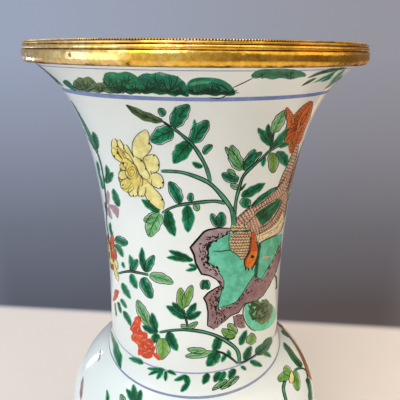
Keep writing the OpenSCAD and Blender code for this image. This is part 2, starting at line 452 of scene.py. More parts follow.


# worn gilding that is darkest in its grooves, with painted light across the mount: a painted highlight paler
# on the left, painted shade deeper on the right
def giltMaterial(name, grooves, look, toothRadius=None, marked=False, shift=(0.0, 0.0, 0.0)):
    material, tree, shader = newMaterial(name)
    place = objectPlace(tree)
    x, y, z = splitPlace(tree, place)
    height = plus(tree, z, swing(tree, noiseAt(tree, place, look["wanderScale"], 2.0), look["wander"]))
    groove = 0.0
    for level in grooves:
        off = calc(tree, "ABSOLUTE", minus(tree, height, level * mm))
        cut = smoothMask(tree, off, look["grooveReach"], look["grooveReach"] * 0.3, 0.0, look["groovePeak"])
        groove = larger(tree, groove, cut)
    if toothRadius:  # darker between the teeth: where the outside face is cut back
        radius = fromMiddle(tree, x, y)
        nearEdge = smoothMask(tree, radius, *((toothRadius - depth) * mm for depth in look["gapDarkNear"]))
        cutBack = smoothMask(tree, radius, *((toothRadius - depth) * mm for depth in look["gapDarkDepth"]))
        groove = larger(tree, groove, times(tree, times(tree, cutBack, nearEdge), look["gapDarkPeak"]))
    if marked:  # dark stains that gather along the lower edge, and the knocks
        gather = smoothMask(tree, noiseAt(tree, place, look["stainScale"], 3.0, 0.6), 0.47, 0.57)
        lowEdge = smoothMask(tree, height, (grooves[0] + look["stainHeight"]) * mm, grooves[0] * mm)
        groove = larger(tree, groove, times(tree, gather, times(tree, lowEdge, look["stainPeak"])))
        ragged = swing(tree, noiseAt(tree, place, look["raggedScale"], 2.0), look["ragged"])
        for angle, level, wide in knocks.values():
            turn = math.radians(angle)
            spot = (bandOuter * math.sin(turn) * mm, -bandOuter * math.cos(turn) * mm, level * mm)
            far = addNode(tree, "ShaderNodeVectorMath", {0: place, 1: spot}, operation="DISTANCE")
            edge = plus(tree, far.outputs["Value"], ragged)
            hole = smoothMask(tree, edge, wide * mm, wide * 0.4 * mm, 0.0, look["knockPeak"])
            groove = larger(tree, groove, hole)
    moved = addNode(tree, "ShaderNodeVectorMath", {0: place, 1: shift}, operation="ADD").outputs[0]
    drift = swing(tree, noiseAt(tree, place, look["driftScale"], 3.0), look["drift"])
    # painted light: the gilding's tone runs from a pale painted highlight on the left to deeper painted shade
    # on the right
    across = plus(tree, calc(tree, "DIVIDE", x, look["span"]), 0.5)
    litGilt = toneRamp(tree, plus(tree, across, drift), giltLightAcross)
    worn = groupNode(tree, giltWear, {0: moved, 1: groove, 2: litGilt})
    feed(tree, shader, tone=worn[0], rough=worn[1], metal=1.0, normal=bumpFrom(tree, worn[2], 0.5, 0.0012))
    return material


plasterLook = dict(tone=(222, 212, 188), dark=(196, 180, 150), scale=180.0, rough=0.8)


# matt plaster: two tones mixed by a noise that also roughens the surface
def plasterMaterial(look):
    material, tree, shader = newMaterial("plaster")
    cloud = noiseAt(tree, objectPlace(tree), look["scale"], 4.0)
    tone = mixTone(tree, smoothMask(tree, cloud, 0.35, 0.7), tone4(*look["tone"]), tone4(*look["dark"]))
    feed(tree, shader, tone=tone, rough=look["rough"], normal=bumpFrom(tree, cloud, 0.4, 0.0004))
    return material


# enamel: each stroke carries its tone, and marks = vein, scale work, pooling and dark edge
enamelLook = dict(
    ink=(14, 15, 13), inkDepth=0.85, washScale=190.0, washReach=2.4, thinTone=(196, 224, 206),
    thinDepth=0.75, cloudTone=(0.76, 0.76, 0.76, 1.0), veinCount=6.0, veinLean=1.3, scaleSize=2.1,
    scaleStart=40.0, scaleTone=(88, 48, 34), scaleDepth=0.9, scaleRadius=0.52, scaleUneven=0.5,
    unevenScale=900.0, gloss=0.14)


# painted enamel: a wash that pools along the stroke, then veins, scale work and edges in ink over it
def enamelMaterial(look):
    material, tree, shader = newMaterial("enamel")
    place = objectPlace(tree)
    skin = groupNode(tree, glazeSkin, {0: place})
    tone = addNode(tree, "ShaderNodeAttribute", attribute_name="tone").outputs[0]
    marksNode = addNode(tree, "ShaderNodeAttribute", attribute_name="marks")
    marks = addNode(tree, "ShaderNodeSeparateColor", {0: marksNode.outputs[0]}).outputs
    along, across, _ = splitPlace(tree, addNode(tree, "ShaderNodeUVMap", uv_map="strokeMap").outputs[0])
    off = calc(tree, "ABSOLUTE", minus(tree, times(tree, across, 2.0), 1.0))
    wash = noiseAt(tree, place, look["washScale"], 4.0, 0.62)
    # a brush load lies thick and dark by the midrib and the base, and thin and pale at the margin and the tip
    wet = plus(tree, times(tree, off, 0.75), times(tree, along, 0.35))
    wet = plus(tree, wet, swing(tree, wash, look["washReach"]))
    pool = times(tree, smoothMask(tree, wet, 0.75, 0.1), marks[2])
    shade = mixTone(tree, pool, plainWhite, tone)
    colour = mixTone(tree, 1.0, tone, shade, "MULTIPLY")
    pale = times(tree, smoothMask(tree, wet, 0.85, 1.35), times(tree, marks[2], look["thinDepth"]))
    colour = mixTone(tree, pale, colour, tone4(*look["thinTone"]))
    cloud = mixTone(tree, smoothMask(tree, wash, 0.3, 0.7), look["cloudTone"], plainWhite)
    colour = mixTone(tree, 1.0, colour, cloud, "MULTIPLY")
    # midrib and side veins: lines of equal (along x count - off x lean)
    rib = smoothMask(tree, off, 0.13, 0.04)
    lean = times(tree, off, look["veinLean"])
    phase = calc(tree, "FRACT", minus(tree, times(tree, along, look["veinCount"]), lean))
    side = smoothMask(tree, calc(tree, "ABSOLUTE", minus(tree, phase, 0.5)), 0.16, 0.06)
    side = times(tree, side, smoothMask(tree, off, 0.95, 0.6, 0.0, 0.7))
    vein = times(tree, larger(tree, rib, side), marks[0])
    # scale work: rows of arcs, every second row moved half a scale
    row, column, _ = splitPlace(tree, addNode(tree, "ShaderNodeUVMap", uv_map="scaleMap").outputs[0])
    shift = times(tree, calc(tree, "MODULO", calc(tree, "FLOOR", row), 2.0), 0.5)
    shift = plus(tree, shift, look["scaleStart"])  # keeps the count above 0
    cellX = minus(tree, calc(tree, "FRACT", plus(tree, column, shift)), 0.5)
    uneven = swing(tree, noiseAt(tree, place, look["unevenScale"], 2.0), look["scaleUneven"])
    reach = plus(tree, fromMiddle(tree, cellX, calc(tree, "FRACT", row)), uneven)
    arc = smoothMask(tree, calc(tree, "ABSOLUTE", minus(tree, reach, look["scaleRadius"])), 0.25, 0.1)
    scales = times(tree, times(tree, arc, marks[1]), look["scaleDepth"])
    colour = mixTone(tree, scales, colour, tone4(*look["scaleTone"]))
    edge = times(tree, smoothMask(tree, off, 0.72, 1.0), marksNode.outputs["Alpha"])
    line = calc(tree, "MINIMUM", plus(tree, vein, edge), 1.0)
    colour = mixTone(tree, times(tree, line, look["inkDepth"]), colour, tone4(*look["ink"]))
    height = plus(tree, skin[0], times(tree, wash, 0.5))
    feed(tree, shader, tone=colour, rough=plus(tree, skin[1], 0.06),
         normal=bumpFrom(tree, height, 0.3, 0.0004))
    shader.inputs["Specular IOR Level"].default_value = look["gloss"]
    return material


porcelain = porcelainMaterial(porcelainLook)
plaster = plasterMaterial(plasterLook)
enamel = enamelMaterial(enamelLook)
print("stage: materials made")

# porcelain: three thrown sections and the two rings of slip that join them
floorZ = vase["recess"] + vase["baseThickness"]
half = vase["lutingThickness"] / 2
joints = {"neck": vase["neckJoint"], "belly": vase["bellyJoint"]}
neckFrom, upperTo = joints["neck"] + half, joints["neck"] - half
upperFrom, lowerTo = joints["belly"] + half, joints["belly"] - half
lipArc = arcRun(*lipCentre, vase["neckWall"] / 2, -vase["lipLean"], 180 - vase["lipLean"], 16)[1:-1]
neckLoop = np.concatenate([between(outside, neckFrom), lipArc, between(inside, neckFrom)[::-1]])
upperLoop = np.concatenate([between(outside, upperFrom, upperTo),
                            between(inside, upperFrom, upperTo)[::-1]])
wellTop = floorZ + vase["floorRound"]
wellRadius = np.interp(wellTop, inside[:, 1], inside[:, 0])
ringInner = vase["footRadius"] - vase["footRing"]
ledge = ringInner - vase["recessLedge"]
lowerLoop = np.concatenate([
    [[0, vase["recess"]], [ledge, vase["recess"]]],
    arcRun(ledge, vase["recess"] - vase["recessRound"], vase["recessRound"], 90, 20, 5)[1:],
    [[ringInner - vase["footChamfer"] * vase["innerChamferShare"], vase["footChamfer"]], [ringInner, 0],
     [vase["footRadius"] - vase["footChamfer"], 0]],
    between(outside, 0, lowerTo),
    between(inside, wellTop, lowerTo)[::-1],
    arcRun(wellRadius - vase["floorRound"], wellTop, vase["floorRound"], 0, -90, 8)[1:],
    [[0, floorZ]]])
turnedPiece("neck", neckLoop, porcelain, ["neck_section"])
turnedPiece("upperBody", upperLoop, porcelain, ["upper_body_section"])
turnedPiece("lowerBody", lowerLoop, porcelain, ["lower_body_section"])
for label, level in joints.items():
    inner = between(inside, level - half, level + half)[::-1]
    if len(inner) < 4:  # too few points to round the ridge
        heights = np.linspace(level + half, level - half, vase["lutingSteps"])
        inner = np.stack([np.interp(heights, inside[:, 1], inside[:, 0]), heights], 1)
    bulge = np.sin(np.linspace(0, math.pi, len(inner))) * vase["lutingRidge"]
    inner = inner - np.stack([bulge, 0 * bulge], 1)
    loop = np.concatenate([between(outside, level - half, level + half), inner])
    turnedPiece(label + "Luting", loop, porcelain, [label + "_luting_ring"])
print("stage: porcelain turned")

# gilt mount, from the band up to the milled edge
milledBottom = vase["totalHeight"] - mount["milledHeight"]
reedTop = milledBottom - mount["upperReed"]
bandTop = reedTop - mount["lowerReed"]
bandBottom = bandTop - mount["bandHeight"]
bandInner = lipCentre[0] + vase["neckWall"] / 2 + mount["bandBedding"]
bandOuter = bandInner + mount["metal"] - mount["rubbed"]
reedOuter = bandOuter - mount["reedSetback"]
upperOuter = reedOuter - mount["reedSetback"]
collarBottom = outside[-1, 1] - mount["collarDepth"]
collarFace = inside - normal * mount["bedding"]
collarBore = inside - normal * (mount["bedding"] + mount["metal"])
teethOuter = upperOuter - mount["upperReed"] / 2 - mount["milledInset"]
levels = [bandBottom + mount["bandGroove"], bandTop, reedTop, milledBottom]  # heights of the grooves, in mm
gilt = giltMaterial("giltBand", levels[:2], giltLook, marked=True)
giltReeds = giltMaterial("giltReeds", levels[1:], giltLook, shift=(0.21, 0.34, 0.0))
giltTeeth = giltMaterial("giltTeeth", [milledBottom], giltLook, teethOuter)
giltInside = giltMaterial("giltInside", [collarBottom + mount["collarGroove"]], giltLook)


# the band: a convex outside face that rolls under to the porcelain, and the same moved in by the metal
def bandLoop():
    roll = mount["bandRoll"]
    thick = mount["metal"]
    middle = (bandOuter - roll, bandBottom + roll)
    under = np.interp(bandBottom, outside[:, 1], outside[:, 0]) + mount["bedding"]
    swell = np.linspace(0, 1, 15)
    face = np.stack([bandOuter - mount["bandSwell"] * (2 * swell - 1) ** 2 * (swell > 0.5),
                     bandBottom + roll + swell * (mount["bandHeight"] - roll)], 1)
    return np.concatenate([
        [[under, bandBottom]], arcRun(*middle, roll, -90, 0, 12), face[1:],
        [[bandOuter - thick - mount["bandTuck"], bandTop], [bandInner, bandBottom + roll]],
        arcRun(*middle, roll - thick, 0, -90, 8)[1:], [[under, bandBottom + thick]]])


# half a reed: an arc whose radius is half its height, between two angles in degrees
def reedArc(outer, bottom, high, start, end, steps):
    return arcRun(outer - high / 2, bottom + high / 2, high / 2, start, end, steps)


turnedPiece("rimBand", bandLoop(), gilt, ["rim_band"], mount["turns"])
ringBore = collarFace[-1, 0] - mount["metal"]
ringLoop = np.concatenate([
    [[ringBore, bandTop], [bandOuter - mount["reedTuck"] - mount["reedSetback"], bandTop]],
    reedArc(reedOuter, bandTop, mount["lowerReed"], *mount["lowerArc"]),
    reedArc(upperOuter, reedTop, mount["upperReed"], *mount["upperArc"]),
    [[ringBore + mount["ledgeRound"], milledBottom], [ringBore, milledBottom - mount["ledgeRound"]]]])
turnedPiece("reededRing", ringLoop, giltReeds, ["reeded_ring"], mount["turns"])
collarLoop = np.concatenate([between(collarFace, collarBottom, bandTop), [[ringBore, bandTop]],
                             between(collarBore, collarBottom, bandTop)[::-1]])
turnedPiece("innerCollar", collarLoop, giltInside, ["inner_collar"])
gap = np.array([mount["beddingGap"], 0])
bedFrom = collarBottom + mount["beddingRise"]
bedOuter = bandInner - mount["beddingInset"]
bedLoop = np.concatenate([
    between(collarFace, bedFrom, bandTop)[::-1] + gap, between(inside, bedFrom) - gap, lipArc[::-1],
    [[bedOuter, lipTop - mount["beddingDrop"]], [bedOuter, bandTop - mount["beddingTop"]]]])
turnedPiece("rimBedding", bedLoop, plaster, ["rim_bedding"], mount["beddingTurns"])


# the milled strip: a ring whose outer radius falls between teeth, by 1 - |sin| of half the tooth angle
def milledPiece():
    turns = mount["milledCount"] * mount["milledSteps"]
    a = np.linspace(0, 2 * math.pi, turns, endpoint=False)
    inner = teethOuter - mount["milledWidth"]
    crest = np.abs(np.sin(a * mount["milledCount"] / 2)) ** mount["toothRound"]
    cut = mount["milledDepth"] * mount["toothCut"] * (1 - crest)
    # the section's six corners: radius, share of the cut, share of the height
    r = np.array([inner, teethOuter, teethOuter, teethOuter - mount["toothBevel"],
                  inner + mount["toothCrown"], inner])
    share = np.array([0, 1, 1, 1, 0.4, 0])
    rise = np.array([0, 0, 0.55, 0.72, 0.8, 0.6]) / 0.8
    z = rise[:, None] * mount["milledHeight"] + milledBottom
    points = ringPoints(r[:, None] - share[:, None] * cut, z, a)
    mesh = closedMesh("milledEdge", points, gridFaces(len(r), turns, True), np.zeros((0, 3), int), 30)
    return addPiece("milledEdge", mesh, giltTeeth, ["milled_edge"])


milledPiece()
print("stage: mount turned")

# the camera of the photograph, in mm and degrees, with its focal length and middle in picture points; its
# rays are tried from near to far, and a place above the lip counts as outside
shot = dict(place=(3.5, -285.2, 450.0), pitch=20.29, roll=0.557, focal=402.3, middle=200.0, sensor=36,
            near=120.0, far=520.0, step=1.0, halvings=14, aboveLip=-50)


# places at lengths s along rays, and how far each is inside the glaze: its radius less the place's own
def depthInside(ray, s):
    p = np.array(shot["place"]) + ray[:, None, :] * s[..., None]
    girth = np.interp(p[..., 2], outside[:, 1], outside[:, 0], right=shot["aboveLip"])
    return girth - np.hypot(p[..., 0], p[..., 1]), p


# where rays through picture points first meet the glaze: stepped along each ray, then halved in
def castGlaze(spots):
    spots = np.asarray(spots, float)
    pitch = math.radians(shot["pitch"])
    roll = math.radians(shot["roll"])
    u, v = (spots - shot["middle"]).T
    right = (math.cos(roll) * u + math.sin(roll) * v) / shot["focal"]
    up = (math.sin(roll) * u - math.cos(roll) * v) / shot["focal"]
    forward = math.cos(pitch) + math.sin(pitch) * up
    ray = np.stack([right, forward, -math.sin(pitch) + math.cos(pitch) * up], 1)
    steps = np.tile(np.arange(shot["near"], shot["far"], shot["step"]), (len(spots), 1))
    gap = depthInside(ray, steps)[0]
    hit = gap.max(1) > 0
    first = np.where(hit, (gap > 0).argmax(1), gap.argmax(1))
    near = steps[np.arange(len(spots)), first]
    low = np.where(hit, near - shot["step"], near)
    high = near
    for _ in range(shot["halvings"]):
        mid = (low + high) / 2
        inner = hit & (depthInside(ray, mid[:, None])[0][:, 0] > 0)
        low = np.where(inner, low, mid)
        high = np.where(inner, mid, high)
    p = depthInside(ray, np.where(hit, high, near)[:, None])[1][:, 0]
    return np.stack([np.arctan2(p[:, 0], -p[:, 1]), lengthAt(p[:, 2])], 1)


# radius of the glaze at a length along the outline
def girthAt(length):
    return np.interp(length, glazeLength, outside[:, 0])


# length along the outline at a height
def lengthAt(height):
    return np.interp(height, outside[:, 1], glazeLength)


# a point of the painting: angle round the axis, length along the outline and height over the glaze
def glazePoint(angle, length, height):
    r = girthAt(length) + height * np.interp(length, glazeLength, normal[:, 0])
    z = np.interp(length, glazeLength, outside[:, 1]) + height * np.interp(length, glazeLength, normal[:, 1])
    return np.stack([r * np.sin(angle), -r * np.cos(angle), z], -1)


# a smooth curve through points: between two of them the slopes are half the chord of their neighbours
def smoothPath(points, count):
    p = np.asarray(points, float)
    t = np.linspace(0, len(p) - 1.000001, count)
    p = np.concatenate([[2 * p[0] - p[1]], p, [2 * p[-1] - p[-2]]])
    i = t.astype(int)
    f = (t - i)[:, None]
    a, b, c, d = p[i], p[i + 1], p[i + 2], p[i + 3]
    bent = (2 * a - 5 * b + 4 * c - d) * f ** 2
    return 0.5 * (2 * b + (c - a) * f + bent + (3 * b - a - 3 * c + d) * f ** 3)


# both margins of a band along a path: the path moved to each side by half the width
def bandMargins(path, width):
    slope = np.gradient(path, axis=0)
    slope /= np.linalg.norm(slope, axis=1)[:, None] + 1e-9
    side = np.stack([-slope[:, 1], slope[:, 0]], 1) * (np.asarray(width) / 2)[:, None]
    return path + side, path - side


# half width of a leaf at u from base to tip, largest value 1: a petal is a half circle that widens to its
# tip, a blade is a sine, a leaf is u^0.5 (1 - u)^0.68
def leafShape(kind, u):
    if kind == "petal":
        w = np.sqrt(np.clip(1 - (2 * u - 1) ** 2, 0, 1)) * (0.6 + 0.55 * u)
    elif kind == "blade":
        w = np.sin(math.pi * u) ** 0.9
    else:
        w = u ** 0.5 * (1 - u) ** 0.68
    return w / w.max()


tones = dict(
    deep=(6, 118, 76), leaf=(14, 142, 98), emerald=(18, 140, 100), pale=(130, 194, 130),
    lime=(134, 184, 92), olive=(92, 126, 76), haze=(160, 210, 186), gold=(250, 239, 168),
    primrose=(250, 239, 168), ochre=(240, 218, 118), straw=(245, 228, 138), umber=(92, 78, 38),
    rust=(222, 88, 50), coral=(247, 178, 146), mauve=(186, 154, 160), stem=(84, 160, 126),
    ink=(16, 16, 14), aubergine=(184, 156, 158), plum=(160, 126, 127), jade=(112, 210, 175),
    buff=(252, 213, 176), orange=(208, 96, 40), scarlet=(222, 114, 42), brown=(216, 184, 150),
    flame=(238, 130, 38), pine=(10, 88, 60), border=(30, 134, 96), bracken=(12, 44, 30),
    blue=(98, 130, 200), paleBlue=(146, 164, 208), slate=(128, 142, 180), bark=(170, 106, 44),
    plumage=(218, 186, 160), mossPale=(122, 148, 100), moss=(92, 120, 62), mossDeep=(62, 84, 38),
    sage=(64, 136, 100))
# per style: tone, shape, vein, pooling, dark edge, outlined or not, hazy margin or not
styles = dict(
    deep=("deep", "leaf", 0.9, 0.65, 0.0, False, True),
    lined=("emerald", "leaf", 1.15, 0.65, 0.0, True, False),
    leaf=("leaf", "leaf", 0.8, 0.6, 0.0, False, True), pale=("pale", "leaf", 1.0, 0.45, 0.0, True, False),
    lime=("lime", "leaf", 0.55, 0.3, 0.0, True, False),
    olive=("olive", "leaf", 0.95, 0.6, 0.15, False, False),
    gold=("gold", "petal", 0.0, 0.1, 0.0, True, False),
    rust=("rust", "petal", 0.15, 0.2, 0.1, False, False),
    coral=("coral", "blade", 0.0, 0.0, 0.0, False, False),
    mauve=("mauve", "blade", 0.3, 0.2, 0.2, False, False),
    blade=("leaf", "blade", 0.6, 0.7, 0.1, False, True), ink=("ink", "blade", 0.0, 0.0, 0.0, False, False),
    mossPale=("mossPale", "petal", 0.0, 0.2, 0.0, False, False),
    moss=("moss", "petal", 0.0, 0.2, 0.0, False, False),
    mossDeep=("mossDeep", "petal", 0.0, 0.2, 0.0, False, False))
strokes = []
lineMost = 0.8  # mm of true width for each picture point of a line or stem
leafMost = 1.5  # the same for a leaf, which keeps leaves near the outline from spreading
bambooMost = 5.0  # the same for bamboo, which lies across the right of the rim
unmarked = (0, 0, 0, 0)
# how leaves, stems and quills are drawn: widths in picture points, a quill's ink in mm, the rest as
# shares or counts
brush = dict(
    outline=0.95, inkTaper=0.12, bend=0.05, ragged=0.08, raggedWaves=(1.5, 3.5), leafStep=1.8,
    leafCounts=(9, 24), petalGap=0.1, leafGap=0.5, hazeSide=0.9, hazeEnds=(-0.6, 0.9), hazeMost=2.4,
    stemWaver=0.12, stemWaves=23, stemCounts=(10, 44), stemInk=(1.5, 1.2), quillSteps=40,
    quillInk=(0.7, 0.45), fanSteps=8, fanReach=(0.7, 1.15), fanSag=0.16, fanStray=0.8, fanTip=0.35)
pieceOf = dict(gold="yellow", rust="red", coral="red", mauve="red", ink="lines", mossPale="rock",
               moss="rock", mossDeep="rock")


# a stroke whose margins are already on the glaze: angle and length along the outline
def keepStroke(group, piece, a, b, tone, marks, layer, thin=False):
    strokes.append(dict(group=group, piece=piece, a=a, b=b, tone=tone, marks=marks, layer=layer, thin=thin))


# width in mm on the glaze between two margins of angle and length
def glazeWidth(a, b):
    girth = girthAt((a[:, 1] + b[:, 1]) / 2)
    return np.hypot((a[:, 0] - b[:, 0]) * girth, a[:, 1] - b[:, 1])


# picture margins drawn in towards their middle wherever they would be wider than most mm on the glaze
def drawnIn(left, right, most):
    both = castGlaze(np.concatenate([left, right]))
    keep = np.minimum(1, most / np.maximum(glazeWidth(both[:len(left)], both[len(left):]), 1e-6))[:, None]
    middle = (left + right) / 2
    return middle + (left - middle) * keep, middle + (right - middle) * keep


# margins in picture points are cast to the glaze; most is the widest that the stroke may be there, in mm
def addStroke(group, piece, marginA, marginB, tone, marks, layer=0, thin=False, most=99.0):
    both = castGlaze(np.concatenate([marginA, marginB]))
    a, b = both[:len(marginA)], both[len(marginA):]
    middle = (a + b) / 2
    keep = np.minimum(1, most / np.maximum(glazeWidth(a, b), 1e-6))[:, None]
    a, b = middle + (a - middle) * keep, middle + (b - middle) * keep
    keepStroke(group, piece, a, b, tone, marks, layer, thin)


# a line of ink along a path, thinned to its ends as the root of a sine
def addInk(group, path, width, layer=3, tone="ink"):
    taper = np.sin(np.linspace(brush["inkTaper"], math.pi - brush["inkTaper"], len(path))) ** 0.5
    a, b = bandMargins(path, width * taper)
    addStroke(group, "outlines", a, b, tone, unmarked, layer, True, width * lineMost)


# a ragged margin: 1 + depth x sin, over a random number of waves from a random start
def raggedEdge(u):
    waves = rng.uniform(*brush["raggedWaves"]) * u + rng.uniform()
    return (1 + brush["ragged"] * np.sin(2 * math.pi * waves))[:, None]


# a leaf or petal: a midline from base to tip, bent as a sine, with a ragged half width either side
def addLeaf(group, baseX, baseY, tipX, tipY, width, style, layer=1, most=leafMost):
    tone, shape, vein, pool, edge, outlined, hazy = styles[style]
    base = np.array([baseX, baseY])
    tip = np.array([tipX, tipY])
    span = np.linalg.norm(tip - base)
    count = int(np.clip(span / brush["leafStep"] + 6, *brush["leafCounts"]))
    u = (1 - np.cos(np.linspace(0, math.pi, count))) / 2
    swell = np.sin(math.pi * u)[:, None]
    side = np.array([base[1] - tip[1], tip[0] - base[0]]) / span
    middle = base + (tip - base) * u[:, None] + side * (rng.normal(0, brush["bend"]) * span * swell)
    reach = (width / 2 * leafShape(shape, u))[:, None] * side
    left, right = drawnIn(middle + reach * raggedEdge(u), middle - reach * raggedEdge(u), most * width)
    addStroke(group, pieceOf.get(tone, "greens"), left, right, tone, (vein, 0, pool, edge), layer)
    if hazy:
        spread = side * (brush["hazeSide"] * swell ** 0.5)
        reachOut = (tip - base) / span * np.linspace(*brush["hazeEnds"], count)[:, None]
        hazed = drawnIn(left + spread + reachOut, right - spread + reachOut,
                        most * width + brush["hazeMost"])
        addStroke(group, "haze", *hazed, "haze", unmarked, -2)
    if outlined:
        gap = side * (brush["petalGap" if tone == "gold" else "leafGap"] * swell ** 0.3)
        addInk(group, left + gap, brush["outline"], layer + 0.5)
        addInk(group, right - gap, brush["outline"], layer + 0.5)


# a stem along a path: its width goes from start to end and wavers as a sine, with ink down both sides
def addStem(group, path, startWidth, endWidth):
    count = int(np.clip(len(path) * 5, *brush["stemCounts"]))
    line = smoothPath(path, count)
    waver = 1 + brush["stemWaver"] * np.sin(np.linspace(0, brush["stemWaves"], count))
    width = np.linspace(startWidth, endWidth, count) * waver
    margins = drawnIn(*bandMargins(line, width), max(startWidth, endWidth) * lineMost)
    addStroke(group, "stems", *margins, "stem", (0.0, 0, 0.35, 0.5), 1)
    for margin, ink in zip(margins, brush["stemInk"]):
        addInk(group, margin, ink)


# a band along a path on the glaze, as angles in degrees and heights in mm: it swells as a sine and is
# drawn out to points, or goes evenly from one width to the other where an end width is given
def addQuill(group, piece, path, width, tone, vein, layer, endWidth=0.0):
    path = np.array(path, float)
    count = brush["quillSteps"]
    girth = np.interp(path[:, 1].mean(), outside[:, 1], outside[:, 0])
    unroll = np.array([1 / girth, 1])
    line = smoothPath(np.stack([np.radians(path[:, 0]) * girth, lengthAt(path[:, 1])], 1), count)
    u = np.linspace(0.04, 1, count)
    widths = width + (endWidth - width) * u if endWidth else width * np.sin(math.pi * u ** 0.75) ** 0.6
    margins = bandMargins(line, widths)
    keepStroke(group, piece, margins[0] * unroll, margins[1] * unroll, tone, (vein, 0, 0.25, 0.2), layer)
    for margin in margins + ((line,) if vein else ()):
        a, b = bandMargins(margin, np.linspace(*brush["quillInk"], count))
        keepStroke(group, "outlines", a * unroll, b * unroll, "ink", unmarked, layer + 0.6, True)


# straight runs from point to point, so that corners stay sharp
def cornerPath(points, steps=4):
    p = np.asarray(points, float)
    t = np.arange((len(p) - 1) * steps + 1) / steps
    k = np.arange(len(p))
    return np.stack([np.interp(t, k, p[:, 0]), np.interp(t, k, p[:, 1])], 1)


# an area between two margins, each with a line of ink where its width isn't 0
def addPatch(group, piece, left, right, tone, marks, layer, inked, count=30, sharp=False, line="ink",
             lift=3.0):
    a, b = (cornerPath(side) if sharp else smoothPath(side, count) for side in (left, right))
    addStroke(group, piece, a, b, tone, marks, layer)
    for margin, width in zip((a, b), inked):
        if width:
            addInk(group, margin, width, layer + lift, line)


# a fan of tapering lines from a root: angles in degrees, up in the picture is 90
def addFan(group, rootX, rootY, start, end, count, reach, width=1.1, tone="bracken"):
    for angle in np.radians(np.linspace(start, end, count)):
        length = reach * rng.uniform(*brush["fanReach"])
        way = np.array([math.cos(angle), -math.sin(angle)])
        sag = np.array([-way[1], way[0]]) * length * rng.uniform(-brush["fanSag"], brush["fanSag"])
        root = np.array([rootX, rootY]) + rng.normal(0, brush["fanStray"], 2)
        path = smoothPath([root, root + way * length * 0.5 + sag, root + way * length], brush["fanSteps"])
        a, b = bandMargins(path, np.linspace(width, width * brush["fanTip"], brush["fanSteps"]))
        addStroke(group, "lines", a, b, tone, unmarked, 4, True, width * lineMost)


# leaves and petals in picture points: base x, base y, tip x, tip y, width, style
yellowSpray = dict(
    oliveLeaf=(163, 121.5, 125.6, 104.7, 10, "olive"), topBud=(164.5, 116, 158.5, 108.5, 6, "lined"),
    upLeaf=(172.5, 127, 189, 104.5, 15, "lined"), upLobe=(172, 126, 175.5, 107, 10, "leaf"),
    leftLeaf=(173, 130, 150.5, 141, 17, "lined"), downLeaf=(190.5, 142.5, 173.5, 163, 17, "deep"),
    rightLeaf=(191, 142, 208.5, 120.5, 14, "lined"), rightLobe=(191, 141, 194.5, 119.5, 7, "leaf"),
    twigLeaf=(203, 153.8, 212.6, 145, 5.5, "lined"), twigLow=(202.5, 167, 192.5, 162.5, 6.5, "leaf"),
    midLeaf=(180.5, 203, 169, 181.5, 10.5, "lined"), sprigUp=(190.5, 201.5, 191, 192.7, 5.5, "lined"),
    sprigDown=(194.5, 204, 198.5, 211, 5.5, "pale"), hangLeft=(167.3, 210.5, 174.8, 236, 12, "deep"),
    hangRight=(187.2, 205.5, 188, 232, 13, "leaf"), paleLeaf=(160, 213.5, 149, 236.8, 14, "pale"),
    paleLobe=(160, 213.5, 143.5, 221, 9, "pale"), underPetal=(159.5, 212, 141.8, 199.5, 8.5, "leaf"),
    budLeft=(220.6, 227, 211, 213.5, 7, "lined"), budRight=(220.6, 227, 221.5, 211.8, 9, "lined"))
rightSpray = dict(
    outlined=(241.5, 170.5, 231.5, 145, 12, "pale"), outlinedLobe=(240.5, 168, 225.2, 146.8, 6, "pale"),
    forkLeft=(243, 170, 255.2, 149.2, 9, "lined"), forkRight=(243.5, 170, 262, 152, 7, "lined"),
    sideLeaf=(238.8, 180, 221.5, 173.8, 9, "lined"), curl=(235, 176, 227.5, 169.5, 4, "pale"),
    smallLeft=(239.5, 187.5, 230, 185, 4.5, "pale"), thinRight=(240, 191, 246.3, 183, 3, "olive"),
    longDark=(241.3, 196.5, 265, 183.3, 10, "deep"), roundLeaf=(246, 198, 244.5, 208, 10, "lined"),
    topOutlined=(273.5, 132, 285.5, 110.5, 9.5, "pale"),
    topDarkLeft=(270.5, 145.5, 258, 128.2, 9.5, "deep"),
    topDarkRight=(270.8, 145.5, 268.3, 124.3, 8.5, "deep"), edgeDark=(272.5, 147.5, 288.7, 128, 8, "deep"),
    edgeSmall=(279, 147, 289.5, 144, 6, "leaf"), limeHang=(272, 152.5, 272.5, 173.2, 9.5, "lime"),
    greyHang=(277, 151.5, 287, 166.5, 11, "leaf"), tinyHang=(264.5, 156.5, 262.8, 166.5, 5.5, "leaf"))
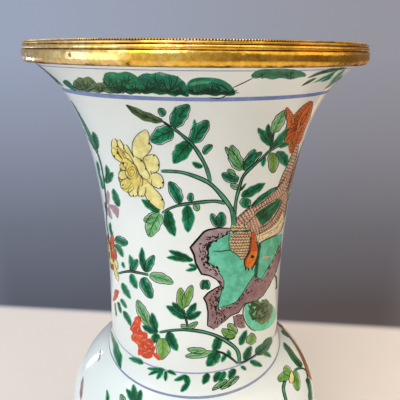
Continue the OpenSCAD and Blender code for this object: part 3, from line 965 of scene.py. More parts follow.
# the peony's petals from the back to the front: left margin, right margin, tone
peony = dict(
    back=([(133, 158), (139, 166), (141, 176), (140, 187)],
          [(145, 157), (149, 165), (152, 176), (151, 187)], "straw"),
    longPetal=([(141, 184), (143.6, 192), (148, 200.5), (154.5, 207), (161.8, 210)],
               [(150, 180), (154, 188), (159.5, 193.5), (163.3, 200), (164.3, 205), (162.8, 210)],
               "primrose"),
    lowPetal=([(145, 176), (148.5, 182), (153, 186), (158, 188.3), (161, 188.8)],
              [(148, 172), (155, 172.3), (161, 175), (163.6, 181), (163.3, 186.5), (161.5, 188.6)],
              "primrose"),
    farPetal=([(143, 168), (143.7, 158), (148, 155.3), (153.5, 154.2)],
              [(146, 174), (153, 173.5), (158.5, 170), (159.3, 163), (157.5, 157.5), (154.5, 154.3)],
              "gold"),
    topPetal=([(136, 160), (132.3, 152), (132.8, 142), (137, 135), (142, 131.3), (146, 129.3)],
              [(142, 159), (149.3, 152.3), (151.8, 146.8), (149.4, 142.5), (149.2, 135), (146.6, 129.4)],
              "gold"),
    backA=([(121, 154), (113, 149), (111.6, 143), (113.3, 138.2)],
           [(122, 153), (118.4, 146), (116.8, 141), (114.3, 138.2)], "gold"),
    backB=([(126, 156), (119.5, 148), (117.3, 143), (118.3, 139)],
           [(128, 155), (125, 149), (122.6, 143.5), (119.5, 139)], "gold"),
    backC=([(131, 160), (126, 154), (123.7, 148), (124.6, 144)],
           [(134, 158), (132, 154), (129.4, 148.5), (126, 144)], "gold"),
    midA=([(124, 164), (115, 158), (111.8, 152), (112, 147.5)],
          [(125, 160), (120.4, 155.5), (117.8, 150.5), (113.2, 147.2)], "straw"),
    midB=([(127, 164), (121, 157.5), (117.8, 151.5), (118, 147.3)],
          [(130, 162), (126, 157), (123.4, 151), (119.3, 147)], "ochre"),
    midC=([(131, 167), (126, 160.5), (123.2, 155), (123.5, 151.5)],
          [(135, 165), (132, 158.5), (128.6, 154), (124.7, 151.4)], "straw"),
    side=([(123.5, 163), (120.4, 170), (118.7, 177), (120.5, 183), (124, 187.5)],
          [(135, 160), (139, 168), (142, 175), (143, 182), (142, 188)], "ochre"),
    lowA=([(131, 182), (123.5, 183.5), (121, 186.5), (125, 191.5)],
          [(135, 186), (132.5, 190), (129.5, 192), (126, 192)], "straw"),
    lowB=([(134, 185), (128.6, 190), (129.6, 195), (133, 197)],
          [(139.5, 186), (138.8, 191), (137.6, 195), (134, 197.2)], "gold"),
    lowC=([(140, 185), (137.5, 190), (138.6, 195), (141, 197.2)],
          [(146, 186), (146, 191), (144.6, 195), (142, 197.3)], "gold"),
    fold=([(134, 173), (126.5, 168.5), (122.6, 163), (122.4, 158)],
          [(138, 168), (132.5, 162.5), (128, 158.5), (123.2, 157.4)], "ochre"),
    ringA=([(129.5, 164.5), (125, 162.2), (121.2, 163.2), (119.7, 166)],
           [(129.5, 169.5), (125, 170.4), (121.3, 169.4), (119.8, 167)], "straw"),
    ringB=([(128.5, 170.5), (123.8, 170.2), (120, 171.6), (118.5, 174.8)],
           [(129, 176.5), (125, 179), (121.2, 179.3), (118.9, 176.2)], "gold"),
    ringC=([(128.5, 177.5), (124, 179.3), (120.6, 182.4), (120.6, 186)],
           [(132.5, 181.5), (129.8, 186), (126, 189), (121.6, 187)], "straw"),
    heart=([(128.3, 163.6), (125.6, 168.5), (126.3, 175), (131.6, 181)],
           [(131, 162), (136.4, 166), (138.6, 173), (135.6, 180)], "ochre"),
    corePetal=([(131.5, 157.5), (134, 163), (137, 168.3), (139.5, 174), (143.5, 178.2), (148.3, 179.5)],
               [(134.5, 155.8), (141.5, 160), (144.8, 163.8), (146.6, 168.8), (150, 175), (149.3, 179.3)],
               "gold"))
leftEdge = dict(
    thinBlade=(95.5, 150, 83.5, 129, 2.5, "deep"), darkHeart=(97, 149.5, 92.8, 132, 7, "deep"),
    edgeLeaf=(103.5, 189, 97, 161, 5.5, "leaf"), darkUp=(106, 183, 106, 165, 5, "deep"),
    darkOut=(106, 183, 112.8, 172.5, 8, "deep"), forkLeaf=(119, 206.5, 113, 188.8, 6.5, "leaf"),
    flowerUp=(108, 205, 107.8, 190, 5, "mauve"), flowerDown=(108.5, 204, 117.8, 218.5, 7, "mauve"),
    flowerLow=(108.5, 205, 112, 219.5, 5, "mauve"), lowDark=(107.3, 215, 105, 202, 3, "deep"),
    lowLeaf=(112.5, 236, 110, 222.5, 4.5, "deep"), paleSide=(115, 238, 128, 244, 8, "lined"),
    paleDown=(114.5, 244.5, 123, 257, 6, "leaf"), tiny=(122.5, 262, 124.5, 268, 3, "leaf"),
    redLow=(113.6, 301, 116.8, 289.5, 7, "rust"))
midLeft = dict(
    upA=(131, 271, 129.5, 255, 6, "leaf"), upB=(131.5, 271, 137, 259, 5, "lined"),
    upC=(146, 272, 142, 247.5, 7, "deep"), upD=(146, 272, 154, 255, 7, "lined"),
    paleRight=(149.5, 275, 173.5, 283, 9, "pale"), downA=(142.5, 277.5, 152, 298.5, 10, "lined"),
    downB=(131, 274, 137, 288.5, 7, "leaf"), downC=(122, 283, 130.5, 298.5, 6, "leaf"),
    downD=(121, 299, 126.5, 308, 4, "leaf"), downE=(118, 302, 121, 313, 4, "deep"),
    downF=(115, 303, 116.5, 316, 2.5, "deep"), downG=(123.5, 311, 131, 326, 5.5, "leaf"),
    darkA=(193, 260, 167, 257.5, 7, "deep"), darkB=(190, 258.5, 169, 250.5, 6.5, "deep"),
    smallA=(197, 268, 186, 270.5, 4, "leaf"), smallB=(197, 267, 189, 264.5, 4, "leaf"),
    heartA=(205, 280, 202, 289.5, 6, "lined"), heartB=(205.5, 280, 208.5, 289.5, 6, "lined"))
centre = dict(
    limeA=(183, 309, 180.5, 287.5, 8, "lime"), limeB=(184, 307, 192, 285, 8, "lime"),
    darkA=(186, 318, 166.5, 306, 9, "deep"), darkB=(185, 315, 172.5, 302.5, 8, "deep"),
    darkC=(186.5, 318, 201, 312, 8, "deep"), darkD=(187, 316, 196, 303, 8, "deep"),
    paleA=(187, 327, 180.5, 325, 3, "pale"), paleB=(187, 328, 198, 322, 4, "pale"))
lowRed = dict(
    top=(139, 328, 138, 316, 8, "rust"), leftA=(140, 336, 131.5, 325, 10, "rust"),
    leftB=(142, 345, 132.5, 334, 11, "rust"), leftC=(146, 352, 138, 349.5, 11, "rust"),
    rightA=(145, 346, 153, 340.5, 10, "rust"), foot=(148, 349, 146, 358.5, 12, "rust"),
    inner=(146, 341, 142, 332, 8, "rust"), tail=(151, 352, 160.5, 360, 5, "rust"),
    rightB=(148, 348, 155, 350, 9, "rust"))
lowSpray = dict(
    paleUp=(149, 325.5, 137, 300, 9, "pale"), darkUp=(156, 330, 152, 313, 8.5, "deep"),
    darkSide=(158, 332, 142.5, 326, 8, "deep"), darkRound=(157.5, 333.5, 154, 343, 9, "deep"),
    limePear=(162, 338, 161, 360, 13, "lime"), darkDown=(168, 332, 177.5, 350.5, 11, "deep"),
    archDark=(219, 337.5, 213.5, 351, 10, "deep"), archLow=(217.5, 350, 207, 366, 13, "deep"),
    paleLow=(212, 352, 185, 356.3, 5.5, "pale"), paleHigh=(206, 350.5, 187, 349, 5, "pale"),
    twigA=(230, 357, 228, 350, 4.5, "leaf"), twigB=(226, 355, 221.5, 362, 5, "leaf"),
    stemLeaf=(240, 345, 246.5, 330.5, 7, "deep"), limeSide=(248, 344, 253, 333, 8, "lime"),
    darkMid=(244.3, 360, 251, 346, 8, "deep"), darkBig=(256, 354.5, 271.5, 337.2, 12, "deep"),
    limeA=(236, 334.5, 228, 323.5, 7, "lime"), limeB=(236, 335, 221.5, 329.5, 8, "lime"),
    limeC=(235, 336, 225, 337.5, 5, "lime"), paleFoot=(250, 361, 262, 366, 6, "leaf"),
    paleEdge=(262, 352, 271, 357, 5, "leaf"))
# the narrow border between the two rings at the foot of the neck
footBorder = dict(
    dabA=(143.5, 363.5, 129, 358, 6, "leaf"), dabB=(165, 370, 147.5, 368.5, 4.5, "leaf"),
    dabC=(163, 371, 148.5, 375, 4.5, "deep"), dabD=(163, 371, 157, 379, 5, "leaf"),
    dabE=(166, 371, 165.5, 381, 4.5, "deep"), dabF=(167, 371, 176, 375, 4, "leaf"),
    dabG=(186, 375, 174.3, 380.3, 5, "leaf"), dabH=(185.5, 375, 188.5, 386, 7, "deep"),
    dabI=(188, 383, 181, 391.5, 6, "deep"), dabJ=(208, 373, 203, 384, 7.5, "deep"),
    dabK=(221, 372, 214.3, 381.8, 8, "deep"), dabL=(225, 371.5, 219, 381, 7, "leaf"),
    dabM=(235, 369, 229, 378.8, 7.5, "deep"), paleA=(227.5, 380, 212, 390.3, 4, "pale"),
    paleB=(239, 376.3, 220.5, 389.3, 4.5, "pale"), dabO=(241, 366, 246, 370, 4, "leaf"))
shoulderPaint = dict(
    clusterA=(134, 405, 133.5, 384.5, 8, "deep"), clusterB=(134, 405, 126.5, 389, 7, "deep"),
    clusterC=(135, 405, 141, 390, 8, "deep"), blade=(106.5, 405, 106.8, 390, 3.5, "leaf"),
    paleTip=(122, 405, 121, 394, 4.5, "pale"), pink=(98, 362, 100.5, 349, 2.6, "mauve"),
    plum=(80.8, 401, 83.3, 376, 4, "mauve"), darkRight=(301.5, 367, 283.5, 342.5, 9, "deep"),
    limeA=(289.5, 374, 277.8, 380.5, 8, "lime"), limeB=(290, 375, 285.5, 365.5, 7, "lime"),
    limeC=(294.5, 370.5, 298, 391, 7, "lime"), bud=(291.5, 371.5, 291, 383.5, 5, "gold"),
    darkEdge=(307.3, 378, 310, 403, 8, "deep"), longLeft=(120.8, 369, 110.8, 331, 9.5, "blade"))
# bamboo under the rim on the right
bamboo = dict(
    longLeaf=(345, 68.5, 307.5, 78, 4, "olive"), tipLeaf=(316, 78, 301.5, 86, 3, "olive"),
    midLeaf=(335, 71.5, 321, 81.5, 3, "blade"), lowLeaf=(345, 69, 329.3, 84, 3, "blade"),
    lowTip=(341, 76, 324, 89.5, 2.4, "olive"), backLeaf=(348, 68, 322, 74, 2.4, "olive"),
    hangLeaf=(343, 74, 333, 91, 2.2, "blade"), edgeTip=(338, 70, 314, 82.5, 2, "blade"))
stems = dict(
    main=("yellowSpray", [(159.7, 171), (172, 171.3), (184, 172.8), (199.5, 178.1), (210.5, 184),
                          (219.9, 193.4), (226.5, 201.5),
                          (231.4, 209), (233.7, 217), (233.9, 227)], 2.2, 4.8),
    upBranch=("yellowSpray", [(171.5, 127.5), (178, 131.8), (184, 136.8), (191, 143), (196.5, 150),
            (202.5, 159.8), (207, 169.5), (210.8, 183)], 2.2, 3.4),
    lowBranch=("yellowSpray", [(226, 203.5), (215.3, 201.2), (203, 202), (191.8, 203.2), (180, 205),
            (170, 208.5), (161, 213.5)], 2.8, 1.6),
    leafStalk=("yellowSpray", [(172, 128), (167, 124.5), (162.5, 121.3)], 1.4, 1.0),
    rightStem=("rightSpray", [(234.2, 222), (235, 208), (236.7, 197), (239, 189), (242.8, 177),
            (250.5, 168.2), (261, 159), (271.2, 149.8), (284, 143)], 2.8, 1.5),
    upTwig=("rightSpray", [(270, 150.5), (272, 141), (274, 131)], 1.5, 1.2),
    edgeStem=("leftEdge", [(96.6, 150), (101, 164), (104, 181), (106.5, 204.8), (107, 224), (109.5, 240)],
              1.8, 2.0),
    midStem=("midLeft", [(117.5, 273.5), (128, 271.3), (138, 272.5), (149.5, 275)], 1.4, 1.8),
    centreStem=("centre", [(183, 309), (185.5, 317), (188, 328)], 1.6, 1.4),
    arch=("lowSpray", [(158, 332.5), (170, 330.6), (183, 329.7), (196.7, 330.7), (208, 333), (219, 337),
                       (230, 343.5), (236.7, 349.5), (239, 356), (239.5, 365)], 1.8, 3.4),
    archTwig=("lowSpray", [(238, 364), (230.4, 357.7), (222, 352.8), (215, 351)], 1.4, 1.0),
    sideTwig=("lowSpray", [(240, 363), (249, 359), (262, 350), (272, 343)], 1.2, 0.8),
    loopStem=("shoulder", [(293.8, 370.5), (300, 368), (305.3, 370), (307.3, 376.5), (306.5, 383)], 1.6,
              2.2),
    limeStalk=("shoulder", [(285.5, 379), (283.5, 389), (287, 404)], 2.4, 3.2))
# the branch round the right of the shoulder, and blades at the left edge of the neck: piece, path on the
# glaze in degrees and mm, width in mm, tone, vein, end width
glazeBands = dict(
    rimBladeA=("greens", [(-61.5, 443.5), (-60.3, 440), (-59.2, 437), (-57.5, 434), (-55.5, 430.8)], 3.2,
               "pine", 0, 0),
    rimBladeB=("greens", [(-66, 441), (-64, 437), (-61.5, 433.5), (-58.5, 430.5)], 3.0, "pine", 0, 0),
    branch=("stems", [(78, 192), (87, 198), (96, 203.5), (105.5, 209), (116, 212.5), (127, 211)], 11.0,
            "bark", 0, 2.8),
    twigUp=("stems", [(97, 203), (101, 209), (107, 214.5)], 2.4, "bark", 0, 1.2),
    twigDown=("stems", [(108, 209), (114, 203.5), (119, 199)], 2.2, "bark", 0, 1.2),
    leafUp=("greens", [(101, 208), (99, 213), (95.5, 217.5)], 7.0, "leaf", 0.6, 0),
    leafDown=("greens", [(119, 199.5), (124, 194.5), (129, 188)], 8.0, "deep", 0.6, 0),
    leafSide=("greens", [(116, 201.5), (122, 203), (128, 202)], 6.0, "lime", 0.6, 0),
    leafEnd=("greens", [(126, 211), (132, 213.5), (139, 213)], 7.0, "emerald", 0.6, 0),
    leafTop=("greens", [(121, 212), (123, 216.5), (127, 220)], 6.0, "leaf", 0.6, 0),
    budLeft=("red", [(105.5, 213), (108, 217.5), (107, 221.5)], 6.5, "rust", 0, 0),
    budRight=("red", [(106, 213), (111, 216), (114, 220)], 6.5, "rust", 0, 0),
    longBlade=("greens", [(-53.5, 390.5), (-57.5, 401), (-60.5, 411.5), (-62, 422)], 8.0, "leaf", 0.6, 0))

leafTables = dict(
    yellowSpray=yellowSpray, rightSpray=rightSpray, leftEdge=leftEdge, midLeft=midLeft, centre=centre,
    lowRed=lowRed, lowSpray=lowSpray, footBorder=footBorder, shoulder=shoulderPaint, bamboo=bamboo)
for group, table in leafTables.items():
    most = bambooMost if group == "bamboo" else leafMost
    for order, row in enumerate(table.values()):
        layer = 1 + 0.6 * order if row[5] in ("gold", "rust") else 1 + order % 2
        addLeaf(group, *row, layer, most)
for group, path, startWidth, endWidth in stems.values():
    addStem(group, path, startWidth, endWidth)
for order, (piece, path, width, tone, vein, endWidth) in enumerate(glazeBands.values()):
    addQuill("bands", piece, path, width, tone, vein, 1 + order % 3, endWidth)
for order, (left, right, tone) in enumerate(peony.values()):
    layer = 4 + 0.6 * order
    addPatch("yellowPeony", "yellow", left, right, tone, (0, 0, 0.4, 0), layer, (0.8, 0.8), 18,
             line="umber", lift=1.0)
borderTwigs = dict(
    left=[(212, 390.5), (216, 387), (219, 388.2), (224, 382.5), (228, 380.2)],
    right=[(221, 389.2), (226, 385.5), (229, 386), (234, 379), (239, 376.5)])
for path in borderTwigs.values():
    addInk("footBorder", smoothPath(path, 14), 0.9, 4)
# flat washes under the red flowers' petals: group, left margin, right margin, tone, marks, layer, inks
petalMarks = (0.2, 0.5, 0.12, 0.1)
redWashes = dict(
    heart=("redRight", [(293, 118), (286.5, 124), (284, 132), (287.5, 140), (288, 147.5), (289.6, 154)],
           [(299, 113), (309, 118), (305.5, 130), (302, 140), (297, 147.5), (291.4, 154)], "scarlet",
           petalMarks, 1, (0, 0)),
    left=("redRight", [(286.4, 107), (284.6, 113), (287, 122), (285, 131)],
          [(288, 107), (293.5, 114), (297.5, 122), (297, 131)], "scarlet", petalMarks, 1.4, (0.8, 0)),
    right=("redRight", [(311, 100.5), (302, 106.5), (295, 115.5), (293.5, 128)],
           [(312.8, 101), (311.6, 111), (309, 120), (303, 133)], "scarlet", petalMarks, 1.8, (0.8, 0.8)),
    low=("lowRed", [(136.7, 317), (131.5, 325), (132.3, 334), (137, 345), (139.3, 352), (145, 357)],
         [(139.3, 317), (141.4, 322), (141, 328), (146.5, 336), (153.5, 347.7), (152, 356)], "rust",
         (0, 0, 0.2, 0), 0, (0, 0)))
for group, left, right, tone, marks, layer, inked in redWashes.values():
    addPatch(group, "red", left, right, tone, marks, layer, inked)

coralDabs = dict(reach=(1.5, 2.6), bow=0.4, width=0.75, spots=[
    (138, 321), (134.5, 327), (138.5, 330), (135, 336), (141, 335), (139, 342), (144.5, 340.5),
    (141.5, 348), (146, 346.5), (149.5, 343), (145, 353.5), (149.5, 351.5), (152.5, 347)])
for spot in np.array(coralDabs["spots"]):
    lean = rng.uniform(0, math.pi)
    way = np.array([math.cos(lean), math.sin(lean)]) * rng.uniform(*coralDabs["reach"])
    middle = spot + np.array([-way[1], way[0]]) * coralDabs["bow"]
    addInk("lowRed", smoothPath([spot - way, middle, spot + way], 7), coralDabs["width"], 7, "coral")
# dots on the yellow petals: half a dot's length as x and y, width, places
petalDots = dict(half=(0.3, -1.1), width=1.9, spots=[
    (149.2, 143.3), (158.4, 164.7), (162.7, 182.5), (160.8, 187.6), (162.3, 199.5), (141.4, 160.6),
    (146, 168.6), (154, 155.2), (114.8, 156), (123.9, 163.6), (117.6, 146.3), (141.8, 195.6),
    (123.2, 184.7), (117.6, 153), (133.6, 195.6), (149.2, 201)])
for spot in np.array(petalDots["spots"]):
    addLeaf("yellowPeony", *(spot - petalDots["half"]), *(spot + petalDots["half"]), petalDots["width"],
            "ink", layer=19)
# the scroll of ink in the peony's heart: a spiral of radius start + growth x turn, drawn wide and tall
scroll = dict(x=132, y=171.8, start=0.8, growth=0.36, wide=0.9, tall=1.15, turns=(0.6, 15.5), width=0.6)
spin = np.linspace(*scroll["turns"], 64)
radius = scroll["start"] + scroll["growth"] * spin
spiral = np.stack([scroll["x"] + radius * np.cos(spin) * scroll["wide"],
                   scroll["y"] + radius * np.sin(spin) * scroll["tall"]], 1)
addInk("yellowPeony", spiral, scroll["width"], 18, "umber")

# rock: margins in picture points, left and right, top to bottom; then tone, outline widths
rock = dict(
    face=([(229, 231), (217, 236), (205, 243), (203, 254), (203.5, 264), (212, 268), (217.5, 273),
           (217, 280), (219, 286), (214, 297), (213, 310)],
          [(240, 230), (250, 236), (257, 243), (257.5, 250), (256.5, 258), (255.8, 265), (256, 277),
           (252, 284), (248, 291), (243, 300), (230, 307)], "jade", (0, 0)),
    faceRight=([(261, 236), (257.5, 250), (256, 262), (255, 272), (257, 281)],
               [(283, 229), (281.5, 243), (278, 253), (272, 266), (263, 281)], "jade", (0, 0)),
    cleft=([(258, 242), (256, 258), (252.8, 279)], [(262, 242), (259.5, 258), (257.5, 282)], "deep",
           (0, 0)),
    rimTop=([(232, 228.5), (218.6, 227.8), (208, 229.9), (203.8, 232), (190.3, 247.5), (194, 254.5),
             (195.7, 263), (201.5, 274), (209.5, 275.5), (217.5, 280)],
            [(231, 232), (220, 238), (213, 241.8), (209.5, 245), (208.3, 248.5), (208, 255), (207.2, 262),
             (212.5, 265), (217.5, 268.5), (220, 275)], "aubergine", (2.4, 1.2)),
    rimLow=([(222.3, 284.5), (215, 288.5), (208, 293), (203.7, 298), (206.4, 303), (208, 312),
             (207.5, 325.5), (215.7, 330)],
            [(222.5, 286), (221.5, 291), (220, 297), (218.5, 303), (217.8, 308), (221, 311), (226, 317),
             (219.5, 326)], "plum", (1.8, 0.9)),
    rimFoot=([(217.8, 308), (229, 304.8), (236, 302.2), (241.4, 295), (247.5, 285), (254, 275.5),
              (261, 279.5), (271, 262), (278, 249), (282, 240)],
             [(221.5, 324), (231, 315.5), (238.5, 312.5), (244.4, 304), (256, 301), (263, 295.5),
              (269, 286), (276, 272), (280, 258), (281.2, 246)], "plum", (1.0, 1.2)),
    rimNeck=([(213, 276.5), (217.5, 280.5), (220, 284), (221, 288)],
             [(218.5, 272), (222, 277), (224, 282), (223.5, 288)], "aubergine", (1.4, 0.8)),
    small=([(249, 301.5), (244.5, 306), (243, 314), (246, 323), (251, 329), (256, 331)],
           [(266, 299.5), (273, 305), (276.2, 311), (275.8, 319), (270, 327), (262, 331)], "jade",
           (1.2, 0)),
    smallSide=([(233, 315), (234, 321), (234.8, 327.5)], [(243, 312.5), (244.5, 320), (246, 330)], "plum",
               (0.9, 0)))
rockPooling = dict(aubergine=0.14, plum=0.2, jade=0.3, deep=0.8)
for order, (label, (left, right, tone, outline)) in enumerate(rock.items()):
    layer = 4 if tone == "deep" else order / 2
    addPatch("rock", "rock", left, right, tone, (0.0, 0, rockPooling[tone], 0.1), layer, outline,
             sharp=label != "small")
rockCrease = [(217.5, 280), (220.5, 282), (222.4, 284.6)]
addInk("rock", smoothPath(rockCrease, 8), 1.6, 5)
# moss on the small rock: a wash, then dabs that are darker towards its left
moss = dict(
    left=[(255, 301.5), (252, 306), (253, 313), (256, 320), (260, 325.5)],
    right=[(266, 300.5), (273, 305.5), (273.6, 312), (270.5, 319), (262, 325.5)],
    x=260.5, y=310.5, reach=11.5, count=72, lean=1.5, widths=(2.6, 4.4), depth=9, slope=0.45,
    deepFrom=0.5, paleTo=-4.5)
addPatch("rock", "rock", moss["left"], moss["right"], "mossPale", (0, 0, 0.5, 0), 6, (0, 0), 18)
for _ in range(moss["count"]):
    spin = rng.uniform(0, 2 * math.pi)
    away = math.sqrt(rng.uniform())
    way = np.array([math.cos(spin), math.sin(spin)])
    spot = np.array([moss["x"], moss["y"]]) + away * way * moss["reach"]
    lean = rng.normal(0, moss["lean"], 2)
    depth = rng.uniform(0, moss["depth"]) - moss["slope"] * (spot[0] - moss["x"]) - moss["depth"] * away ** 2
    style = "mossDeep" if depth > moss["deepFrom"] else "moss" if depth > moss["paleTo"] else "mossPale"
    width = rng.uniform(*moss["widths"])
    layer = 8 + min(max(depth, -4), 4) / 2 + rng.uniform()
    addLeaf("rock", *(spot - lean), *(spot + lean), width, style, layer)
rockLeaves = dict(coral=(262, 258.6, 269.5, 256.4, 2.4, "coral", 5),
                  olive=(275.2, 275, 275.8, 290, 4.2, "olive", 2))
for row in rockLeaves.values():
    addLeaf("rock", *row)
# hollows of the rock, short dark dabs along its rims: rim, share of the way across it, boldness
hollows = [
    ("rimTop", 0.8, 1.2), ("rimTop", 0.66, 1), ("rimTop", 0.5, 1), ("rimLow", 0.75, 1),
    ("rimLow", 0.58, 1), ("rimLow", 0.42, 1), ("rimFoot", 0.16, 1), ("rimFoot", 0.3, 1),
    ("smallSide", 0.35, 1), ("smallSide", 0.7, 1), ("rimTop", 0.91, 1.9), ("rimLow", 0.88, 1.5)]
hollowBrush = dict(stray=0.9, reach=(0.5, 1.6), lean=0.7, widths=(0.9, 2.0))
for label, share, bold in hollows:
    left, right = (cornerPath(side, 5) for side in rock[label][:2])
    spots = left + (right - left) * share
    way = np.gradient(spots, axis=0)[2:-2:2]
    for spot, lean in zip(spots[2:-2:2], way / np.linalg.norm(way, axis=1)[:, None]):
        spot = spot + rng.normal(0, hollowBrush["stray"], 2)
        reach = lean * rng.uniform(*hollowBrush["reach"]) * bold + rng.normal(0, hollowBrush["lean"], 2)
        width = rng.uniform(*hollowBrush["widths"]) * bold ** 0.5
        addLeaf("rock", *(spot - reach), *(spot + reach), width, "ink", 7)

# the bird on the rock: left margin, right margin, tone, scale work
bird = dict(
    side=([(243, 219), (246, 230), (250, 239)], [(259, 226), (259, 236), (257.5, 244)], "plumage", 0.75),
    body=([(234, 223), (245, 212), (256, 204), (268, 195), (279, 186), (286, 176)],
          [(250, 236), (257, 243), (266, 239), (278, 232), (284.4, 218), (287.8, 198)], "plumage", 0.75),
    tail=([(276, 192), (281, 178), (287, 165), (293.5, 150), (297, 143)],
          [(286.5, 197), (290, 181), (293.3, 167), (297.3, 152), (299, 143)], "plumage", 0.9),
    backBand=([(233.5, 221), (242, 213), (253, 204), (265, 195.5), (276, 188), (284, 178), (290, 166)],
              [(241, 229), (248, 222), (257, 213.5), (269, 205.5), (280, 197), (287, 188), (291, 174)],
              "plumage", 0.95),
    sideBand=([(257, 229), (263, 226), (271, 221), (278, 210), (283, 198)],
              [(260, 236), (266, 233), (276, 227), (283.8, 215), (287.2, 200)], "plumage", 0.9),
    belly=([(256, 235), (262, 231.5), (270, 226.5), (277.5, 218.5), (283, 207)],
           [(257.3, 245), (263, 241), (272, 237), (280, 232), (284.3, 221)], "buff", 0.05),
    breast=([(231.5, 223.5), (229, 236), (229.7, 249), (236, 254), (242, 261)],
            [(249.5, 223.5), (251, 236), (250.5, 248), (248.5, 254), (244.5, 260)], "brown", 1.0),
    neck=([(252.3, 229), (250, 240), (248.3, 252), (244.3, 258.5), (244.5, 266), (248.5, 268)],
          [(254, 229), (256.5, 240), (258, 248), (257.6, 254.5), (255, 262), (251, 268)], "orange", 0.2),
    wing=([(253, 214), (258, 209), (265, 204.5), (273, 200.5), (281, 197.5)],
          [(262, 227.5), (266, 225), (271, 220.5), (277, 211), (282, 199)], "deep", 0.0),
    head=([(250.3, 250), (246.6, 256), (244.6, 261), (245, 266.5), (248, 268.3)],
          [(257.6, 250), (257.6, 254.5), (256, 261), (253.5, 266.5), (251, 268.3)], "flame", 0.1))
for order, (left, right, tone, scales) in enumerate(bird.values()):
    marks = (0.0, scales, 0.8 if tone == "deep" else 0.1, 0.1)
    addPatch("bird", "bird", left, right, tone, marks, 4 + order / 2, (0.7, 0.7), 22)
birdFeathers = dict(
    upper=(252, 206.5, 277.5, 187, 5, "lined"), capLeft=(231.5, 231.8, 239, 230.6, 3.4, "deep"),
    capRight=(241, 231, 250.5, 230, 3.6, "deep"), blush=(232, 235.4, 241, 234.6, 2.2, "mauve"),
    blushRight=(243, 234.8, 250, 234, 1.8, "rust"), billTop=(245.8, 265.5, 245.3, 271, 1.8, "ink"),
    billMid=(248.6, 266.5, 248.6, 271, 1.6, "ink"), billLow=(251.5, 265, 252.2, 270.5, 1.8, "ink"))
for row in birdFeathers.values():
    addLeaf("bird", *row, layer=9)
bellyDots = dict(path=[(260, 239.6), (266, 236), (273, 231.5), (279, 224)], count=11, spread=0.7,
                 half=(0.5, -0.5))
dots = smoothPath(bellyDots["path"], bellyDots["count"])
for spot in dots + rng.normal(0, bellyDots["spread"], dots.shape):
    addLeaf("bird", *(spot - bellyDots["half"]), *(spot + bellyDots["half"]), 1.0, "ink", 9)
wingLines = dict(
    upper=[(256, 215.5), (266, 209), (279, 199.3)], middle=[(258.5, 219.5), (268, 212.8), (279.5, 200.5)],
    lower=[(261, 223.8), (269.5, 217), (280, 202)])
for path in wingLines.values():
    addInk("bird", smoothPath(path, 10), 0.8, 11)
# long tail feathers, which go on round the side: angles in degrees and heights in mm along the quill,
# width in mm, tone
plumes = dict(
    lowest=([(60, 356), (69, 357), (79, 353), (88, 345)], 5.0, "lime"),
    low=([(59, 360), (69, 367), (80, 368), (91, 362), (98, 353)], 6.5, "plumage"),
    middle=([(57, 365), (67, 376), (78, 381), (90, 379), (100, 371)], 7.0, "scarlet"),
    high=([(55, 369), (64, 383), (75, 391), (86, 393), (95, 388)], 6.5, "plumage"))
for order, (quill, width, tone) in enumerate(plumes.values()):
    addQuill("plumes", "bird", quill, width, tone, 0.55, 3 + 0.5 * order)
eye = dict(x=252.3, y=256.6, size=4.4, steps=9)
across = np.linspace(-1, 1, eye["steps"])
path = np.stack([across / 2 * eye["size"] + eye["x"], np.full(eye["steps"], eye["y"])], 1)
a, b = bandMargins(path, eye["size"] * np.sqrt(1 - across ** 2))
addStroke("bird", "bird", a, b, "bracken", (0, 0, 0, 0.4), 13)
rockSeam = [(210.6, 251), (220, 251.3), (227, 250.2), (233, 250.4)]
addInk("bird", smoothPath(rockSeam, 10), 1.0)

# the scalloped green border under the rim: top margin and bottom margin, then fans of veins
humps = dict(
    wedge=([(62.5, 81), (66, 79.5), (70, 82), (73, 86), (76, 91)],
           [(62.8, 83), (66, 86), (70, 89), (73, 91), (76, 92)], "deep"),
    spiky=([(72, 82), (76, 79), (79, 76.5), (83, 77.5), (88, 76), (92, 78), (97, 83), (101, 84)],
           [(73, 89), (76, 91), (80, 92), (84, 92), (88, 93), (92, 92.5), (97, 93), (101, 92)], "olive"),
    link=([(94, 85), (99, 82), (104, 83), (109, 85), (114, 88)],
          [(94.5, 92.5), (99, 93.6), (104, 92.6), (109, 94), (114, 94)], "olive"),
    first=([(103, 77), (105.5, 72.5), (112, 71.2), (119, 72), (126, 70.8), (133, 73), (138, 77), (142, 85)],
           [(103.5, 81), (106, 87), (110, 92.5), (117, 94.5), (124, 93), (130, 95.5), (136, 94), (142, 95)],
           "border"),
    second=([(134.5, 82), (138, 76), (145, 72.5), (152, 73), (160, 71), (168, 73.5), (176, 75), (183, 80),
             (187, 85), (189.5, 93)],
            [(135, 90), (139, 93), (146, 95), (153, 94), (160, 96), (167, 95), (174, 97.5), (180, 95.5),
             (185, 97), (189.5, 97)], "border"),
    third=([(186, 84), (191, 79), (198, 77), (207, 76.8), (216, 77.5), (224, 80), (231, 85), (236, 92)],
           [(186.5, 93), (192, 95.5), (199, 96), (207, 95.5), (215, 97), (222, 95.5), (229, 96.5),
            (236, 95)], "border"),
    fourth=([(250.5, 75), (256, 70.5), (263, 68.7), (272, 68.5), (281, 68), (290, 68.7), (299, 70),
             (307, 74)],
            [(251, 77.5), (256, 79), (263, 78), (272, 80), (281, 78.5), (290, 80), (299, 78), (307, 76.5)],
            "sage"))
humpWash = dict(rise=0.42, waver=0.12, waves=14, steps=22, foot=0.04)
